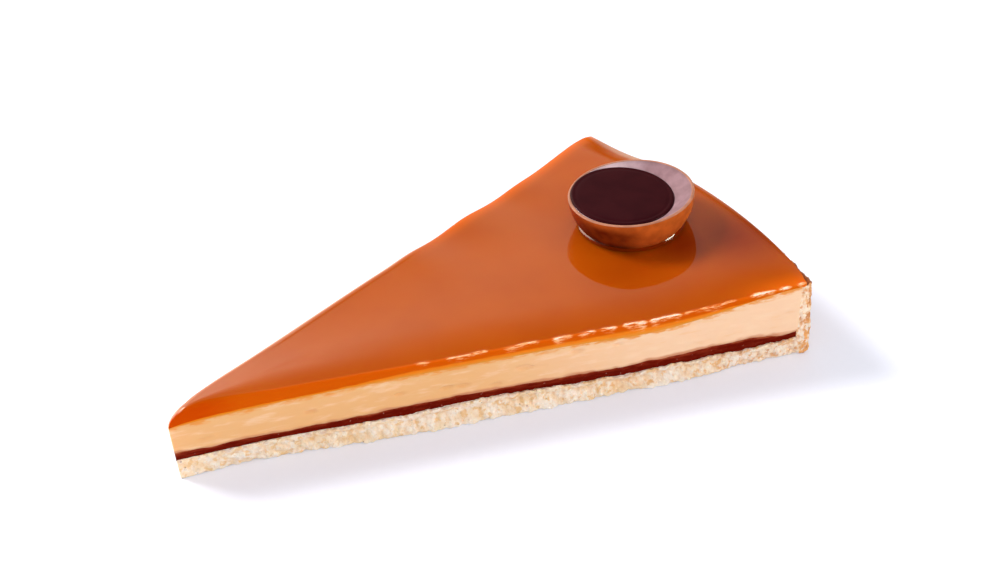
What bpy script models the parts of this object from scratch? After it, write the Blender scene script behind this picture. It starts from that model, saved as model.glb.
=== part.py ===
"""A slice of salted caramel tart with a filled chocolate cup on it. Metres, +Z up.

The slice is a wedge of a round tart. Its point is at -X, its crust wall at +X, and it
stands on z = 0. Heights below are given by functions of the distance r from the centre
of the whole tart, which is the point of the wedge.
"""

import math

import bmesh
import bpy
from mathutils import Matrix, Vector, noise

MM = 0.001

# The whole tart and the slice
TART_RADIUS = 135.0 * MM
SLICE_ANGLE = math.radians(34.23)
HALF_ANGLE = SLICE_ANGLE / 2
TIP_RADIUS = 0.9 * MM
TIP_STRETCH = 0.4 * MM
TIP_LEAN = 0.8 * MM
TIP_LEAN_REACH = 14.0 * MM
CENTRE_X = -TART_RADIUS / 2
GAP = 0.3 * MM
ALMOST = 0.999
ROW_CROWDING = 0.55
LIGHT_ROW_CROWDING = 0.2
SMOOTH_ANGLE = math.radians(40.0)

# Base colour and roughness of each piece
FINISHES = {
    "crust": ((0.80, 0.62, 0.42), 0.9),
    "chocolate_layer": ((0.12, 0.03, 0.02), 0.5),
    "caramel_cream": ((0.87, 0.58, 0.34), 0.55),
    "caramel_glaze": ((0.62, 0.20, 0.04), 0.08),
    "chocolate_cup": ((0.33, 0.12, 0.05), 0.35),
    "cup_filling": ((0.05, 0.012, 0.012), 0.25),
    "guide": ((0.5, 0.5, 0.5), 0.5),
}

# Crust: a pressed crumb base with an upright wall
BASE_HEIGHT = 4.4 * MM
BASE_TIP_MORE = 0.7 * MM
BASE_TIP_START = 15.0 * MM
BASE_TIP_END = 45.0 * MM
BASE_WAVE = 0.3 * MM
BASE_WAVE_LENGTH = 100.0 * MM
BASE_WAVE_START = 15.0 * MM
BASE_HUMP = 0.75 * MM
BASE_HUMP_PLACE = 64.0 * MM
BASE_HUMP_SPREAD = 12.0 * MM
BASE_FILLET = 0.7 * MM
BASE_FILLET_REACH = 4.0 * MM
WALL_THICKNESS = 2.7 * MM
WALL_TOP = 18.2 * MM
WALL_TOP_ROUNDING = 0.5 * MM
FOOT_ROUNDING = 1.3 * MM
WALL_FLARE = 0.8 * MM
RIM_DIP = 1.5 * MM
RIM_DIP_ANGLE = math.radians(12.5)
RIM_DIP_SPREAD = math.radians(4.6)
RIM_DIP_REACH = 9.0 * MM
BASE_SHARE = 0.82
CRUMB_SIZE = 3.4 * MM
CRUMB_DEPTH = 0.65 * MM
FOOT_CRUMB_DEPTH = 0.9 * MM
FOOT_SPREAD = 1.2 * MM
FOOT_SPREAD_HEIGHT = 0.6
FOOT_SPREAD_START = 20.0 * MM
FOOT_SPREAD_FULL = 45.0 * MM
FOOT_SPREAD_FADE = 108.0 * MM
FOOT_SPREAD_END = 124.0 * MM
TIP_CRUMB_REACH = 8.0 * MM
RIM_CRUMB_HEIGHT = 0.7 * MM
CRUST_BASE_COLUMNS = 70
CRUST_WALL_COLUMNS = 11
CRUST_ROWS_ACROSS = 23
CRUST_ROWS_THROUGH = 4

# Chocolate layer
CHOCOLATE_THICKNESS = 1.75 * MM
CHOCOLATE_MORE = 0.7 * MM
CHOCOLATE_MORE_START = 20.0 * MM
CHOCOLATE_MORE_END = 55.0 * MM
CHOCOLATE_OUTER_MORE = 0.4 * MM
CHOCOLATE_OUTER_START = 100.0 * MM
CHOCOLATE_OUTER_END = 125.0 * MM
CHOCOLATE_TAPER = 0.5
CHOCOLATE_TAPER_START = 120.0 * MM
CHOCOLATE_WAVE = 0.12 * MM
CHOCOLATE_WAVE_LENGTH = 70.0 * MM
CHOCOLATE_WAVE_START = 45.0 * MM
CHOCOLATE_RIPPLE = 0.22 * MM
CHOCOLATE_RIPPLE_SIZE = 5.0 * MM
CHOCOLATE_ROWS_OUT = 50
CHOCOLATE_ROWS_ACROSS = 6

# Caramel cream
CREAM_TOP = 14.45 * MM
CREAM_RISE = 3.75 * MM
CREAM_RISE_START = 102.0 * MM
CREAM_RISE_END = 134.0 * MM
CREAM_DIP = 0.65 * MM
CREAM_DIP_PLACE = 95.0 * MM
CREAM_DIP_SPREAD = 9.0 * MM
CREAM_TIP_DROP = 1.5 * MM
CREAM_TIP_REACH = 12.0 * MM
CREAM_ROWS_OUT = 38
CREAM_ROWS_ACROSS = 11
CREAM_ROWS_UP = 2
FILLING_RADIUS = TART_RADIUS - WALL_THICKNESS - GAP

# Caramel glaze
GLAZE_TOP = 17.35 * MM
GLAZE_RISE = 2.25 * MM
GLAZE_RISE_START = 99.0 * MM
GLAZE_RISE_END = 134.0 * MM
GLAZE_ROUNDING_START = 131.0 * MM
GLAZE_TIP_DROP = 2.4 * MM
GLAZE_TIP_REACH = 3.0 * MM
TIP_ROUNDING = 2.5 * MM
TIP_ROUNDING_REACH = 8.0 * MM
GLAZE_RIM_DROP = 0.75 * MM
GLAZE_RADIUS_FRONT = 133.4 * MM
GLAZE_RADIUS_BACK = 134.8 * MM
GLAZE_END_CHANGE_START = 0.2
GLAZE_END_CHANGE_END = 0.6
GLAZE_CORNER_TRIM = 0.6 * MM
GLAZE_CORNER_SHARE = 0.12
CUT_SHAPE_START = 15.0 * MM
CUT_SHAPE_FULL = 60.0 * MM
SHOULDER_POINT = 2.0 * MM
SHOULDER_POINT_START = 9.0 * MM
SHOULDER_POINT_END = 22.0 * MM
SHOULDER_TIP = 1.0 * MM
SHOULDER_OUTER = 0.7 * MM
SHOULDER_BACK_TIP = 1.5 * MM
BACK_TIP_REACH = 16.0 * MM
TIP_SLOPE = 0.6 * MM
TIP_SLOPE_WIDTH = 6.5 * MM
TIP_SLOPE_START = 22.0 * MM
TIP_SLOPE_END = 55.0 * MM
SHOULDER_CHANGE_START = 28.0 * MM
SHOULDER_CHANGE_END = 52.0 * MM
SHOULDER_FALL = 0.8
SHOULDER_MOST = 0.8 * math.sin(HALF_ANGLE)
SHOULDER_LINES = (0.0, 0.12, 0.45, 1.0)
FRONT_DROOP = 0.95 * MM
FRONT_DROOP_WIDTH = 11.0 * MM
FRONT_DROOP_FADE_START = 130.0 * MM
FRONT_DROOP_FADE_END = 137.0 * MM
FRONT_DROOP_MORE = 0.35 * MM
FRONT_DROOP_PLACE = 125.0 * MM
FRONT_DROOP_SPREAD = 8.0 * MM
BACK_SWELL = 0.65 * MM
BACK_SWELL_WIDTH = 20.0 * MM
BACK_SWELL_FADE_START = 95.0 * MM
BACK_SWELL_FADE_END = 120.0 * MM
BACK_WAVE = 0.3 * MM
BACK_WAVE_LENGTH = 20.5 * MM
BACK_WAVE_PEAK = 66.0 * MM
BACK_WAVE_START = 55.0 * MM
BACK_WAVE_FULL = 75.0 * MM
GLAZE_ROWS_OUT = 44
GLAZE_ROWS_ACROSS = 16

# Chocolate cup and what fills it
CUP_RADIUS = 14.0 * MM
CUP_CENTRE = Vector((45.0, 2.3, 26.1)) * MM
CUP_TILT = math.radians(5.5)
CUP_TILT_AZIMUTH = math.radians(-22.5)
CUP_CURVE_DEPTH = 12.1 * MM
CUP_CURVE_POWER = 2.1
CUP_HEIGHT = 9.0 * MM
CUP_FOOT_RADIUS = 9.4 * MM
CUP_RIM_WIDTH = 0.7 * MM
CUP_RIM_BEVEL = 0.25 * MM
CUP_RIM_FLAT = 0.75
CUP_RIM_STEP = 0.15 * MM
CUP_FOOT_BEVEL = 0.4 * MM
CUP_BOWL_DEPTH = 4.8 * MM
CUP_FILL_LEVEL = 25.0 * MM
CUP_FILL_EDGE = 0.4 * MM
FILL_SLOPE = (0.0139, 0.0535)
CUP_SEGMENTS = 44
CUP_SEAT_SEGMENTS = 32
CUP_SIDE_POINTS = 7
CUP_BOWL_POINTS = 6
FILL_SEGMENTS = 36
FILL_RINGS = 12
FILL_FLATNESS = 4
HALVINGS = 40
TINY = 1e-6
MERGE_DISTANCE = 0.01 * MM
CUTTER_ABOVE_RIM = 1.0 * MM


# Helpers
def smoothstep(value, start, end):
    """0 before start, 1 after end, and an even curve between them."""
    t = min(max((value - start) / (end - start), 0.0), 1.0)
    return t * t * (3.0 - 2.0 * t)


def unevenness(x, y, z, size):
    """Smooth unevenness from -1 to 1 with swells of about the given size."""
    return noise.noise(Vector((x, y, z)) / size)


def crumbs(x, y, z, size):
    """Depth from 0 on the middle of a crumb to about 1 in the cracks between crumbs."""
    nearest = noise.voronoi(Vector((x, y, z)) / size)[0][0]
    return min(1.0, nearest)


def unit_block(cuts):
    """A cube from 0 to 1 on each axis, cut into a grid by this many cuts on each axis."""
    bm = bmesh.new()
    bmesh.ops.create_cube(bm, size=1.0, matrix=Matrix.Translation((0.5, 0.5, 0.5)))
    for axis in range(3):
        if cuts[axis] == 0:
            continue
        edges = [e for e in bm.edges if abs(e.verts[0].co[axis] - e.verts[1].co[axis]) > 0.5]
        bmesh.ops.subdivide_edges(bm, edges=edges, cuts=cuts[axis], use_grid_fill=True)
    return bm


def place(r, angle, z):
    """The point at distance r and angle from the tart's centre, with the tip's forward lean."""
    lean = (TIP_STRETCH + TIP_LEAN * z / CREAM_TOP) * math.exp(-((r / TIP_LEAN_REACH) ** 2))
    return Vector((CENTRE_X + r * math.cos(angle) - lean, r * math.sin(angle), z))


def radial(share, end, crowding=ROW_CROWDING):
    """Distance from the centre for a share of the way out, with rows closer at both ends."""
    eased = share - crowding * math.sin(2.0 * math.pi * share) / (2.0 * math.pi)
    return TIP_RADIUS + (end - TIP_RADIUS) * eased


def add_object(name, bm, collection):
    """Make an object of a bmesh, put it in the collection and give it its material."""
    mesh = bpy.data.meshes.new(name)
    bm.to_mesh(mesh)
    bm.free()
    mesh.shade_smooth()
    mesh.set_sharp_from_angle(angle=SMOOTH_ANGLE)
    mesh.materials.append(make_material(name))
    obj = bpy.data.objects.new(name, mesh)
    collection.objects.link(obj)
    return obj


def make_material(name):
    """A Principled material for food: no metal, one colour and one roughness."""
    color, roughness = FINISHES[name]
    material = bpy.data.materials.new(name)
    material.use_nodes = True
    shader = material.node_tree.nodes["Principled BSDF"]
    shader.inputs["Base Color"].default_value = (*color, 1.0)
    shader.inputs["Roughness"].default_value = roughness
    shader.inputs["Metallic"].default_value = 0.0
    material.diffuse_color = (*color, 1.0)
    return material


# Heights of the layers
def rim_dip(r, angle):
    """How far the rim and what lies on it sag at the low spot near the back corner."""
    off = (angle - RIM_DIP_ANGLE) / RIM_DIP_SPREAD
    return RIM_DIP * math.exp(-off * off) * smoothstep(r, TART_RADIUS - RIM_DIP_REACH, TART_RADIUS)


def base_hump(r):
    """The swell of the crumb base where the chocolate above it thins."""
    return BASE_HUMP * math.exp(-(((r - BASE_HUMP_PLACE) / BASE_HUMP_SPREAD) ** 2))


def base_top(r):
    wave = BASE_WAVE * math.sin(2.0 * math.pi * (r - BASE_WAVE_START) / BASE_WAVE_LENGTH)
    wall_foot = TART_RADIUS - WALL_THICKNESS
    more = BASE_TIP_MORE * (1.0 - smoothstep(r, BASE_TIP_START, BASE_TIP_END))
    fillet = BASE_FILLET * smoothstep(r, wall_foot - BASE_FILLET_REACH, wall_foot)
    return BASE_HEIGHT + more + wave + fillet + base_hump(r)


def chocolate_top(r, angle):
    wave = math.sin(2.0 * math.pi * (r - CHOCOLATE_WAVE_START) / CHOCOLATE_WAVE_LENGTH)
    ripple = CHOCOLATE_RIPPLE * unevenness(r, r * angle, 0.0, CHOCOLATE_RIPPLE_SIZE)
    thickness = CHOCOLATE_THICKNESS + CHOCOLATE_WAVE * wave + ripple
    thickness += CHOCOLATE_MORE * smoothstep(r, CHOCOLATE_MORE_START, CHOCOLATE_MORE_END)
    thickness += CHOCOLATE_OUTER_MORE * smoothstep(r, CHOCOLATE_OUTER_START, CHOCOLATE_OUTER_END)
    thickness *= 1.0 - CHOCOLATE_TAPER * smoothstep(r, CHOCOLATE_TAPER_START, FILLING_RADIUS)
    return base_top(r) + thickness - base_hump(r)


def cream_top(r):
    rise = CREAM_RISE * smoothstep(r, CREAM_RISE_START, CREAM_RISE_END)
    rise -= CREAM_DIP * math.exp(-(((r - CREAM_DIP_PLACE) / CREAM_DIP_SPREAD) ** 2))
    return CREAM_TOP + rise - CREAM_TIP_DROP * math.exp(-r / CREAM_TIP_REACH)


def glaze_bottom(r):
    """The cream's top, stepping down past it to the top of the crust wall."""
    step = (cream_top(FILLING_RADIUS) - WALL_TOP) * smoothstep(r, FILLING_RADIUS, FILLING_RADIUS + MM)
    return cream_top(r) - step + GAP


def glaze_top(r):
    """The glaze away from the cuts: level, rising to the wall, rounded off at its end."""
    rise = GLAZE_RISE * smoothstep(r, GLAZE_RISE_START, GLAZE_RISE_END)
    rounding = max(0.0, (r - GLAZE_ROUNDING_START) / (TART_RADIUS - GLAZE_ROUNDING_START))
    tip = GLAZE_TIP_DROP * math.exp(-r / GLAZE_TIP_REACH)
    inside = min(max((r - TIP_RADIUS) / (TIP_ROUNDING_REACH - TIP_RADIUS), 0.0), 1.0)
    tip += TIP_ROUNDING * (1.0 - math.sqrt(1.0 - (1.0 - inside) ** 2))
    return GLAZE_TOP + rise - GLAZE_RIM_DROP * rounding ** 2 - tip


# Crust
def wall_outside(z):
    """Radius of the wall's outer face, which flares toward its rounded foot."""
    radius = TART_RADIUS + WALL_FLARE * (1.0 - z / WALL_TOP)
    if z >= FOOT_ROUNDING:
        return radius
    rounding = 1.0 - math.sqrt(1.0 - (1.0 - z / FOOT_ROUNDING) ** 2)
    return radius - FOOT_ROUNDING * rounding


def crust_point(u, v, w):
    """u runs out along the base and up the wall, v across the slice, w from outside to inside."""
    side = 2.0 * v - 1.0
    wall_inside = TART_RADIUS - WALL_THICKNESS
    if u <= BASE_SHARE:
        corner = wall_outside(0.0) + (wall_inside - wall_outside(0.0)) * w
        r = radial(u / BASE_SHARE, corner, LIGHT_ROW_CROWDING)
        z = base_top(min(r, wall_inside)) * w
    else:
        climb = (u - BASE_SHARE) / (1.0 - BASE_SHARE)
        foot = base_top(wall_inside) * w
        top = WALL_TOP - rim_dip(TART_RADIUS, HALF_ANGLE * side)
        z = foot + (top - foot) * climb
        r = wall_outside(z) + (wall_inside - wall_outside(z)) * w
    return r, side, z


def crust_vertex(u, v, w):
    """One grid point of the crust, with crags in what shows: cut faces, wall and rim."""
    r, side, z = crust_point(u, v, w)
    angle = HALF_ANGLE * side
    crack = crumbs(r * math.cos(angle), r * math.sin(angle), z, CRUMB_SIZE)
    full = min(1.0, r / TIP_CRUMB_REACH)
    if abs(side) > ALMOST:
        depth = CRUMB_DEPTH if w > 1.0 - ALMOST else FOOT_CRUMB_DEPTH
        spread = FOOT_SPREAD * (1.0 - smoothstep(w, 0.0, FOOT_SPREAD_HEIGHT))
        spread *= smoothstep(r, FOOT_SPREAD_START, FOOT_SPREAD_FULL)
        spread *= 1.0 - smoothstep(r, FOOT_SPREAD_FADE, FOOT_SPREAD_END)
        angle -= math.copysign((full * depth * crack - spread) / r, side)
    if w < 1.0 - ALMOST and u > BASE_SHARE - (1.0 - ALMOST):
        r -= CRUMB_DEPTH * crack
    if u > ALMOST:
        z -= WALL_TOP_ROUNDING * abs(2.0 * w - 1.0) + RIM_CRUMB_HEIGHT * crack * (1.0 - w)
    return place(r, angle, z)


def make_crust(collection):
    columns = CRUST_BASE_COLUMNS + CRUST_WALL_COLUMNS
    bm = unit_block((columns - 1, CRUST_ROWS_ACROSS - 1, CRUST_ROWS_THROUGH - 1))
    for vert in bm.verts:
        column = round(vert.co.x * columns)
        if column <= CRUST_BASE_COLUMNS:
            vert.co.x = BASE_SHARE * column / CRUST_BASE_COLUMNS
        else:
            climb = (column - CRUST_BASE_COLUMNS) / CRUST_WALL_COLUMNS
            vert.co.x = BASE_SHARE + (1.0 - BASE_SHARE) * climb
    tiny = 1.0 - ALMOST
    underside = [
        f for f in bm.faces if all(v.co.z < tiny and v.co.x < BASE_SHARE + tiny for v in f.verts)
    ]
    bmesh.ops.dissolve_faces(bm, faces=underside, use_verts=False)
    for vert in bm.verts:
        vert.co = crust_vertex(*vert.co)
    return add_object("crust", bm, collection)


# Chocolate layer
def make_chocolate_layer(collection):
    bm = unit_block((CHOCOLATE_ROWS_OUT - 1, CHOCOLATE_ROWS_ACROSS - 1, 0))
    for vert in bm.verts:
        u, v, w = vert.co
        angle = HALF_ANGLE * (2.0 * v - 1.0)
        r = radial(u, FILLING_RADIUS, LIGHT_ROW_CROWDING)
        z = chocolate_top(r, angle) if w > 0.5 else base_top(r) + GAP
        vert.co = place(r, angle, z)
    return add_object("chocolate_layer", bm, collection)


# Caramel cream
def make_caramel_cream(collection):
    bm = unit_block((CREAM_ROWS_OUT - 1, CREAM_ROWS_ACROSS - 1, CREAM_ROWS_UP - 1))
    for vert in bm.verts:
        u, v, w = vert.co
        angle = HALF_ANGLE * (2.0 * v - 1.0)
        r = radial(u, FILLING_RADIUS)
        low = chocolate_top(r, angle) + GAP
        z = low + (cream_top(r) - rim_dip(r, angle) - low) * w
        vert.co = place(r, angle, z)
    return add_object("caramel_cream", bm, collection)


# Caramel glaze
def near_tip(r):
    """1 where the glaze has run down over the cut near the tip, 0 further out."""
    return 1.0 - smoothstep(r, SHOULDER_CHANGE_START, SHOULDER_CHANGE_END)


def shoulder(r, side):
    """Width of the rounded edge at a cut: broad near the tip in front, narrow elsewhere."""
    width = SHOULDER_OUTER
    if side < 0.0:
        width += (SHOULDER_TIP - SHOULDER_OUTER) * near_tip(r)
        point = 1.0 - smoothstep(r, SHOULDER_POINT_START, SHOULDER_POINT_END)
        width += (SHOULDER_POINT - SHOULDER_TIP) * point
    else:
        width += (SHOULDER_BACK_TIP - SHOULDER_OUTER) * (1.0 - smoothstep(r, 0.0, BACK_TIP_REACH))
    return min(width, SHOULDER_MOST * r)


def glaze_row(line, r):
    """Distance from the nearer cut and side of a lengthwise grid line, counted from the front."""
    side = -1.0 if line <= GLAZE_ROWS_ACROSS // 2 else 1.0
    lines_in = min(line, GLAZE_ROWS_ACROSS - line)
    width = shoulder(r, side)
    if lines_in < len(SHOULDER_LINES):
        return SHOULDER_LINES[lines_in] * width, side
    last_on_shoulder = len(SHOULDER_LINES) - 1
    share = (lines_in - last_on_shoulder) / (GLAZE_ROWS_ACROSS / 2 - last_on_shoulder)
    return width + (r * HALF_ANGLE - width) * share, side


def glaze_height(r, from_cut, side):
    """Top of the glaze at a distance from a cut: rounded, drooping in front, swollen behind."""
    width = shoulder(r, side)
    z = glaze_top(r)
    body = smoothstep(r, CUT_SHAPE_START, CUT_SHAPE_FULL)
    if side < 0.0:
        near = max(0.0, 1.0 - from_cut / min(TIP_SLOPE_WIDTH, r * HALF_ANGLE))
        z -= TIP_SLOPE * near ** 2 * (1.0 - smoothstep(r, TIP_SLOPE_START, TIP_SLOPE_END))
        near = max(0.0, 1.0 - from_cut / FRONT_DROOP_WIDTH)
        fade = 1.0 - smoothstep(r, FRONT_DROOP_FADE_START, FRONT_DROOP_FADE_END)
        more = math.exp(-(((r - FRONT_DROOP_PLACE) / FRONT_DROOP_SPREAD) ** 2))
        z -= (FRONT_DROOP * body + FRONT_DROOP_MORE * more) * near ** 2 * fade
    else:
        near = max(0.0, 1.0 - from_cut / min(BACK_SWELL_WIDTH, r * HALF_ANGLE))
        wave = math.cos(2.0 * math.pi * (r - BACK_WAVE_PEAK) / BACK_WAVE_LENGTH)
        swell = BACK_SWELL + BACK_WAVE * wave * smoothstep(r, BACK_WAVE_START, BACK_WAVE_FULL)
        fade = 1.0 - smoothstep(r, BACK_SWELL_FADE_START, BACK_SWELL_FADE_END)
        z += body * near ** 2 * swell * fade
    if from_cut < width:
        most = SHOULDER_FALL * (z - glaze_bottom(r))
        fall = min(width, most)
        if side < 0.0:
            fall += (most - fall) * near_tip(r)
        z -= fall * (1.0 - math.sqrt(1.0 - (1.0 - from_cut / width) ** 2))
    return z


def glaze_end(share):
    """Distance from the centre of the glaze's outer end, for a share of the way across."""
    change = smoothstep(share, GLAZE_END_CHANGE_START, GLAZE_END_CHANGE_END)
    end = GLAZE_RADIUS_FRONT + (GLAZE_RADIUS_BACK - GLAZE_RADIUS_FRONT) * change
    return end - GLAZE_CORNER_TRIM * (1.0 - smoothstep(share, 0.0, GLAZE_CORNER_SHARE))


def make_caramel_glaze(collection, cutter):
    bm = unit_block((GLAZE_ROWS_OUT - 1, GLAZE_ROWS_ACROSS - 1, 0))
    for vert in bm.verts:
        u, v, w = vert.co
        r = radial(u, glaze_end(v))
        from_cut, side = glaze_row(round(v * GLAZE_ROWS_ACROSS), r)
        angle = side * (HALF_ANGLE - from_cut / r)
        z = glaze_height(r, from_cut, side) if w > 0.5 else glaze_bottom(r)
        vert.co = place(r, angle, z - rim_dip(r, angle))
    glaze = add_object("caramel_glaze", bm, collection)
    seat = glaze.modifiers.new("cup seat", "BOOLEAN")
    seat.operation = "DIFFERENCE"
    seat.solver = "EXACT"
    seat.object = cutter
    return glaze


# Chocolate cup
def cup_outside(depth, grow=0.0):
    """Radius of the cup's outer side at a depth below its rim plane."""
    share = min(max(depth, 0.0) / CUP_CURVE_DEPTH, 1.0)
    return grow + CUP_RADIUS * (1.0 - share ** CUP_CURVE_POWER) ** (1.0 / CUP_CURVE_POWER)


def cup_inside(depth, shrink=0.0):
    """Radius of the bowl inside the cup, a part of a ball, at a depth below its rim plane."""
    inner = CUP_RADIUS - CUP_RIM_WIDTH
    ball = (inner ** 2 + CUP_BOWL_DEPTH ** 2) / (2.0 * CUP_BOWL_DEPTH)
    off = ball - CUP_BOWL_DEPTH + depth
    return math.sqrt(max(0.0, (ball - shrink) ** 2 - off ** 2))


def cup_axis():
    """The cup's own up direction: its rim is highest toward CUP_TILT_AZIMUTH."""
    lean = math.sin(CUP_TILT)
    return Vector(
        (-lean * math.cos(CUP_TILT_AZIMUTH), -lean * math.sin(CUP_TILT_AZIMUTH), math.cos(CUP_TILT))
    )


def cup_side_profile(grow=0.0):
    """Points down the outer side of the cup to the middle of its foot."""
    foot_start = CUP_HEIGHT - CUP_FOOT_BEVEL
    points = []
    for i in range(1, CUP_SIDE_POINTS + 1):
        depth = CUP_RIM_BEVEL + (foot_start - CUP_RIM_BEVEL) * (i - 1) / (CUP_SIDE_POINTS - 1)
        points.append((cup_outside(depth, grow), -depth))
    points.append((CUP_FOOT_RADIUS + grow, -CUP_HEIGHT - grow))
    points.append((0.0, -CUP_HEIGHT - grow))
    return points


def turned(name, profile, collection, material, steps):
    """Turn a profile in the XZ plane about the cup's axis."""
    bm = bmesh.new()
    verts = [bm.verts.new((r, 0.0, z)) for r, z in profile]
    for low, high in zip(verts, verts[1:]):
        bm.edges.new((low, high))
    mesh = bpy.data.meshes.new(name)
    bm.to_mesh(mesh)
    bm.free()
    mesh.materials.append(material)
    obj = bpy.data.objects.new(name, mesh)
    collection.objects.link(obj)
    screw = obj.modifiers.new("turn", "SCREW")
    screw.axis = "Z"
    screw.angle = 2.0 * math.pi
    screw.steps = steps
    screw.render_steps = steps
    screw.use_merge_vertices = True
    screw.merge_threshold = MERGE_DISTANCE
    screw.use_smooth_shade = True
    obj.location = CUP_CENTRE
    obj.rotation_euler = cup_axis().to_track_quat("Z", "Y").to_euler()
    return obj


def make_seat_cutter(collection, material):
    """The cup's outside, a gap larger, which leaves its seat in the glaze."""
    top = CUTTER_ABOVE_RIM
    profile = [(0.0, top), (CUP_RADIUS + GAP, top)] + cup_side_profile(GAP)
    cutter = turned("cup_seat_cutter", profile, collection, material, CUP_SEAT_SEGMENTS)
    cutter.hide_render = True
    cutter.display_type = "WIRE"
    return cutter


def make_chocolate_cup(collection):
    profile = []
    for i in range(CUP_BOWL_POINTS + 1):
        depth = CUP_BOWL_DEPTH * (1.0 - (i / CUP_BOWL_POINTS) ** 2)
        profile.append((cup_inside(depth), -depth - CUP_RIM_STEP))
    profile.append((CUP_RADIUS - CUP_RIM_FLAT * CUP_RIM_WIDTH, 0.0))
    profile.append((CUP_RADIUS - CUP_RIM_BEVEL, 0.0))
    profile += cup_side_profile()
    return turned("chocolate_cup", profile, collection, make_material("chocolate_cup"), CUP_SEGMENTS)


# What fills the cup
def fill_plane(point):
    """Height of the slightly sloping plane of the filling's edge, above a point."""
    off = point - CUP_CENTRE
    return CUP_FILL_LEVEL - CUP_FILL_EDGE + FILL_SLOPE[0] * off.x + FILL_SLOPE[1] * off.y


def fill_edge_depth(direction, axis):
    """Depth below the rim plane at which the bowl reaches the filling's edge."""
    low, high = 0.0, CUP_BOWL_DEPTH - GAP
    for _ in range(HALVINGS):
        middle = (low + high) / 2
        point = CUP_CENTRE - axis * middle + direction * cup_inside(middle, GAP)
        if point.z > fill_plane(point):
            low = middle
        else:
            high = middle
    return low


def make_cup_filling(collection):
    """A nearly level disc with a rounded edge, whose underside follows the bowl of the cup."""
    axis = cup_axis()
    turn = axis.to_track_quat("Z", "Y")
    middle = CUP_CENTRE.copy()
    middle.z = CUP_FILL_LEVEL
    bm = bmesh.new()
    bmesh.ops.create_uvsphere(bm, u_segments=FILL_SEGMENTS, v_segments=FILL_RINGS, radius=1.0)
    for vert in bm.verts:
        across = math.hypot(vert.co.x, vert.co.y)
        around = math.atan2(vert.co.y, vert.co.x)
        direction = turn @ Vector((math.cos(around), math.sin(around), 0.0))
        edge_depth = fill_edge_depth(direction, axis)
        if vert.co.z > -TINY:
            edge = CUP_CENTRE - axis * edge_depth + direction * cup_inside(edge_depth, GAP)
            spread = math.sin(0.5 * math.pi * across) if across < 1.0 else 1.0
            point = middle.lerp(edge, spread)
            point.z = fill_plane(point) + CUP_FILL_EDGE * math.sqrt(1.0 - spread ** FILL_FLATNESS)
        else:
            below = 1.0 - across
            depth = edge_depth + (CUP_BOWL_DEPTH - GAP - edge_depth) * math.sin(0.5 * math.pi * below)
            point = CUP_CENTRE - axis * depth + direction * cup_inside(depth, GAP)
            if across < TINY:
                point = CUP_CENTRE - axis * (CUP_BOWL_DEPTH - GAP)
        vert.co = point
    return add_object("cup_filling", bm, collection)


# The whole slice
def main():
    for obj in list(bpy.data.objects):
        bpy.data.objects.remove(obj, do_unlink=True)
    parts = bpy.data.collections.new("salted_caramel_tart")
    cutters = bpy.data.collections.new("cutters")
    bpy.context.scene.collection.children.link(parts)
    bpy.context.scene.collection.children.link(cutters)
    seat_cutter = make_seat_cutter(cutters, make_material("guide"))
    make_crust(parts)
    make_chocolate_layer(parts)
    make_caramel_cream(parts)
    make_caramel_glaze(parts, seat_cutter)
    make_chocolate_cup(parts)
    make_cup_filling(parts)


main()
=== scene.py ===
"""The look of a slice of salted caramel tart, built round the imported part.

Everything is in metres in the part's own frame: the point of the wedge is at -X, the crust
wall at +X, and the slice stands on z = 0. The forms repeat those of the part, with finer
grids and the small relief that the food shows. A name that ends in RANGE holds where a
change starts, where it is complete and, if there is a third number, what it comes to. One
that ends in BELL holds the middle, the spread and the height of a smooth swell or dip.
"""

import math

import bmesh
import bpy
from mathutils import Matrix, Vector, noise


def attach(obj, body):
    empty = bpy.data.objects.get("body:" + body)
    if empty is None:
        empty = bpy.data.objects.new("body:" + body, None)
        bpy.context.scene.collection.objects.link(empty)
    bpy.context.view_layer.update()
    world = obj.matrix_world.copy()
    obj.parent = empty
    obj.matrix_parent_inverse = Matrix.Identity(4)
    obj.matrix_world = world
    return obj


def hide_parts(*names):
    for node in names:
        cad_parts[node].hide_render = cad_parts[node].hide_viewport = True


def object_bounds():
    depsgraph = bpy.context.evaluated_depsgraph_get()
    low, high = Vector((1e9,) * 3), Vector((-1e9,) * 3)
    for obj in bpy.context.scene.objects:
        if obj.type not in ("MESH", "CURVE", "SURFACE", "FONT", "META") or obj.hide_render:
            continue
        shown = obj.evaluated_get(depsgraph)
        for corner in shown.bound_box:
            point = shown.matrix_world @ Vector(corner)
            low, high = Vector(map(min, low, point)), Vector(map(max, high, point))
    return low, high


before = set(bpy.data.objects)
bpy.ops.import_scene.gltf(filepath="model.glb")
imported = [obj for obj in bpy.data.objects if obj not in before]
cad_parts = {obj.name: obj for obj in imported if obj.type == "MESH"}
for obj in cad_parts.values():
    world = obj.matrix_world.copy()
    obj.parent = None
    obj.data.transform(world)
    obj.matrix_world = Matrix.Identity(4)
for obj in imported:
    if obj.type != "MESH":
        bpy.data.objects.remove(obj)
CAD_LOW, CAD_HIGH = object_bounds()

MM = 0.001


def mm(*sizes):
    """Sizes given in millimetres, in metres."""
    return tuple(size * MM for size in sizes)


# The whole tart and the slice, as in the part
TART_RADIUS = 135.0 * MM
HALF_ANGLE = math.radians(34.23) / 2
TIP_RADIUS = 0.9 * MM
TIP_STRETCH = 0.4 * MM
TIP_LEAN = 0.8 * MM
TIP_LEAN_REACH = 14.0 * MM
CENTRE_X = -TART_RADIUS / 2
ROW_CROWDING = 0.2
SMEAR_STRETCH = 4.0
ALMOST = 0.999
TINY = 1.0 - ALMOST

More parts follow.
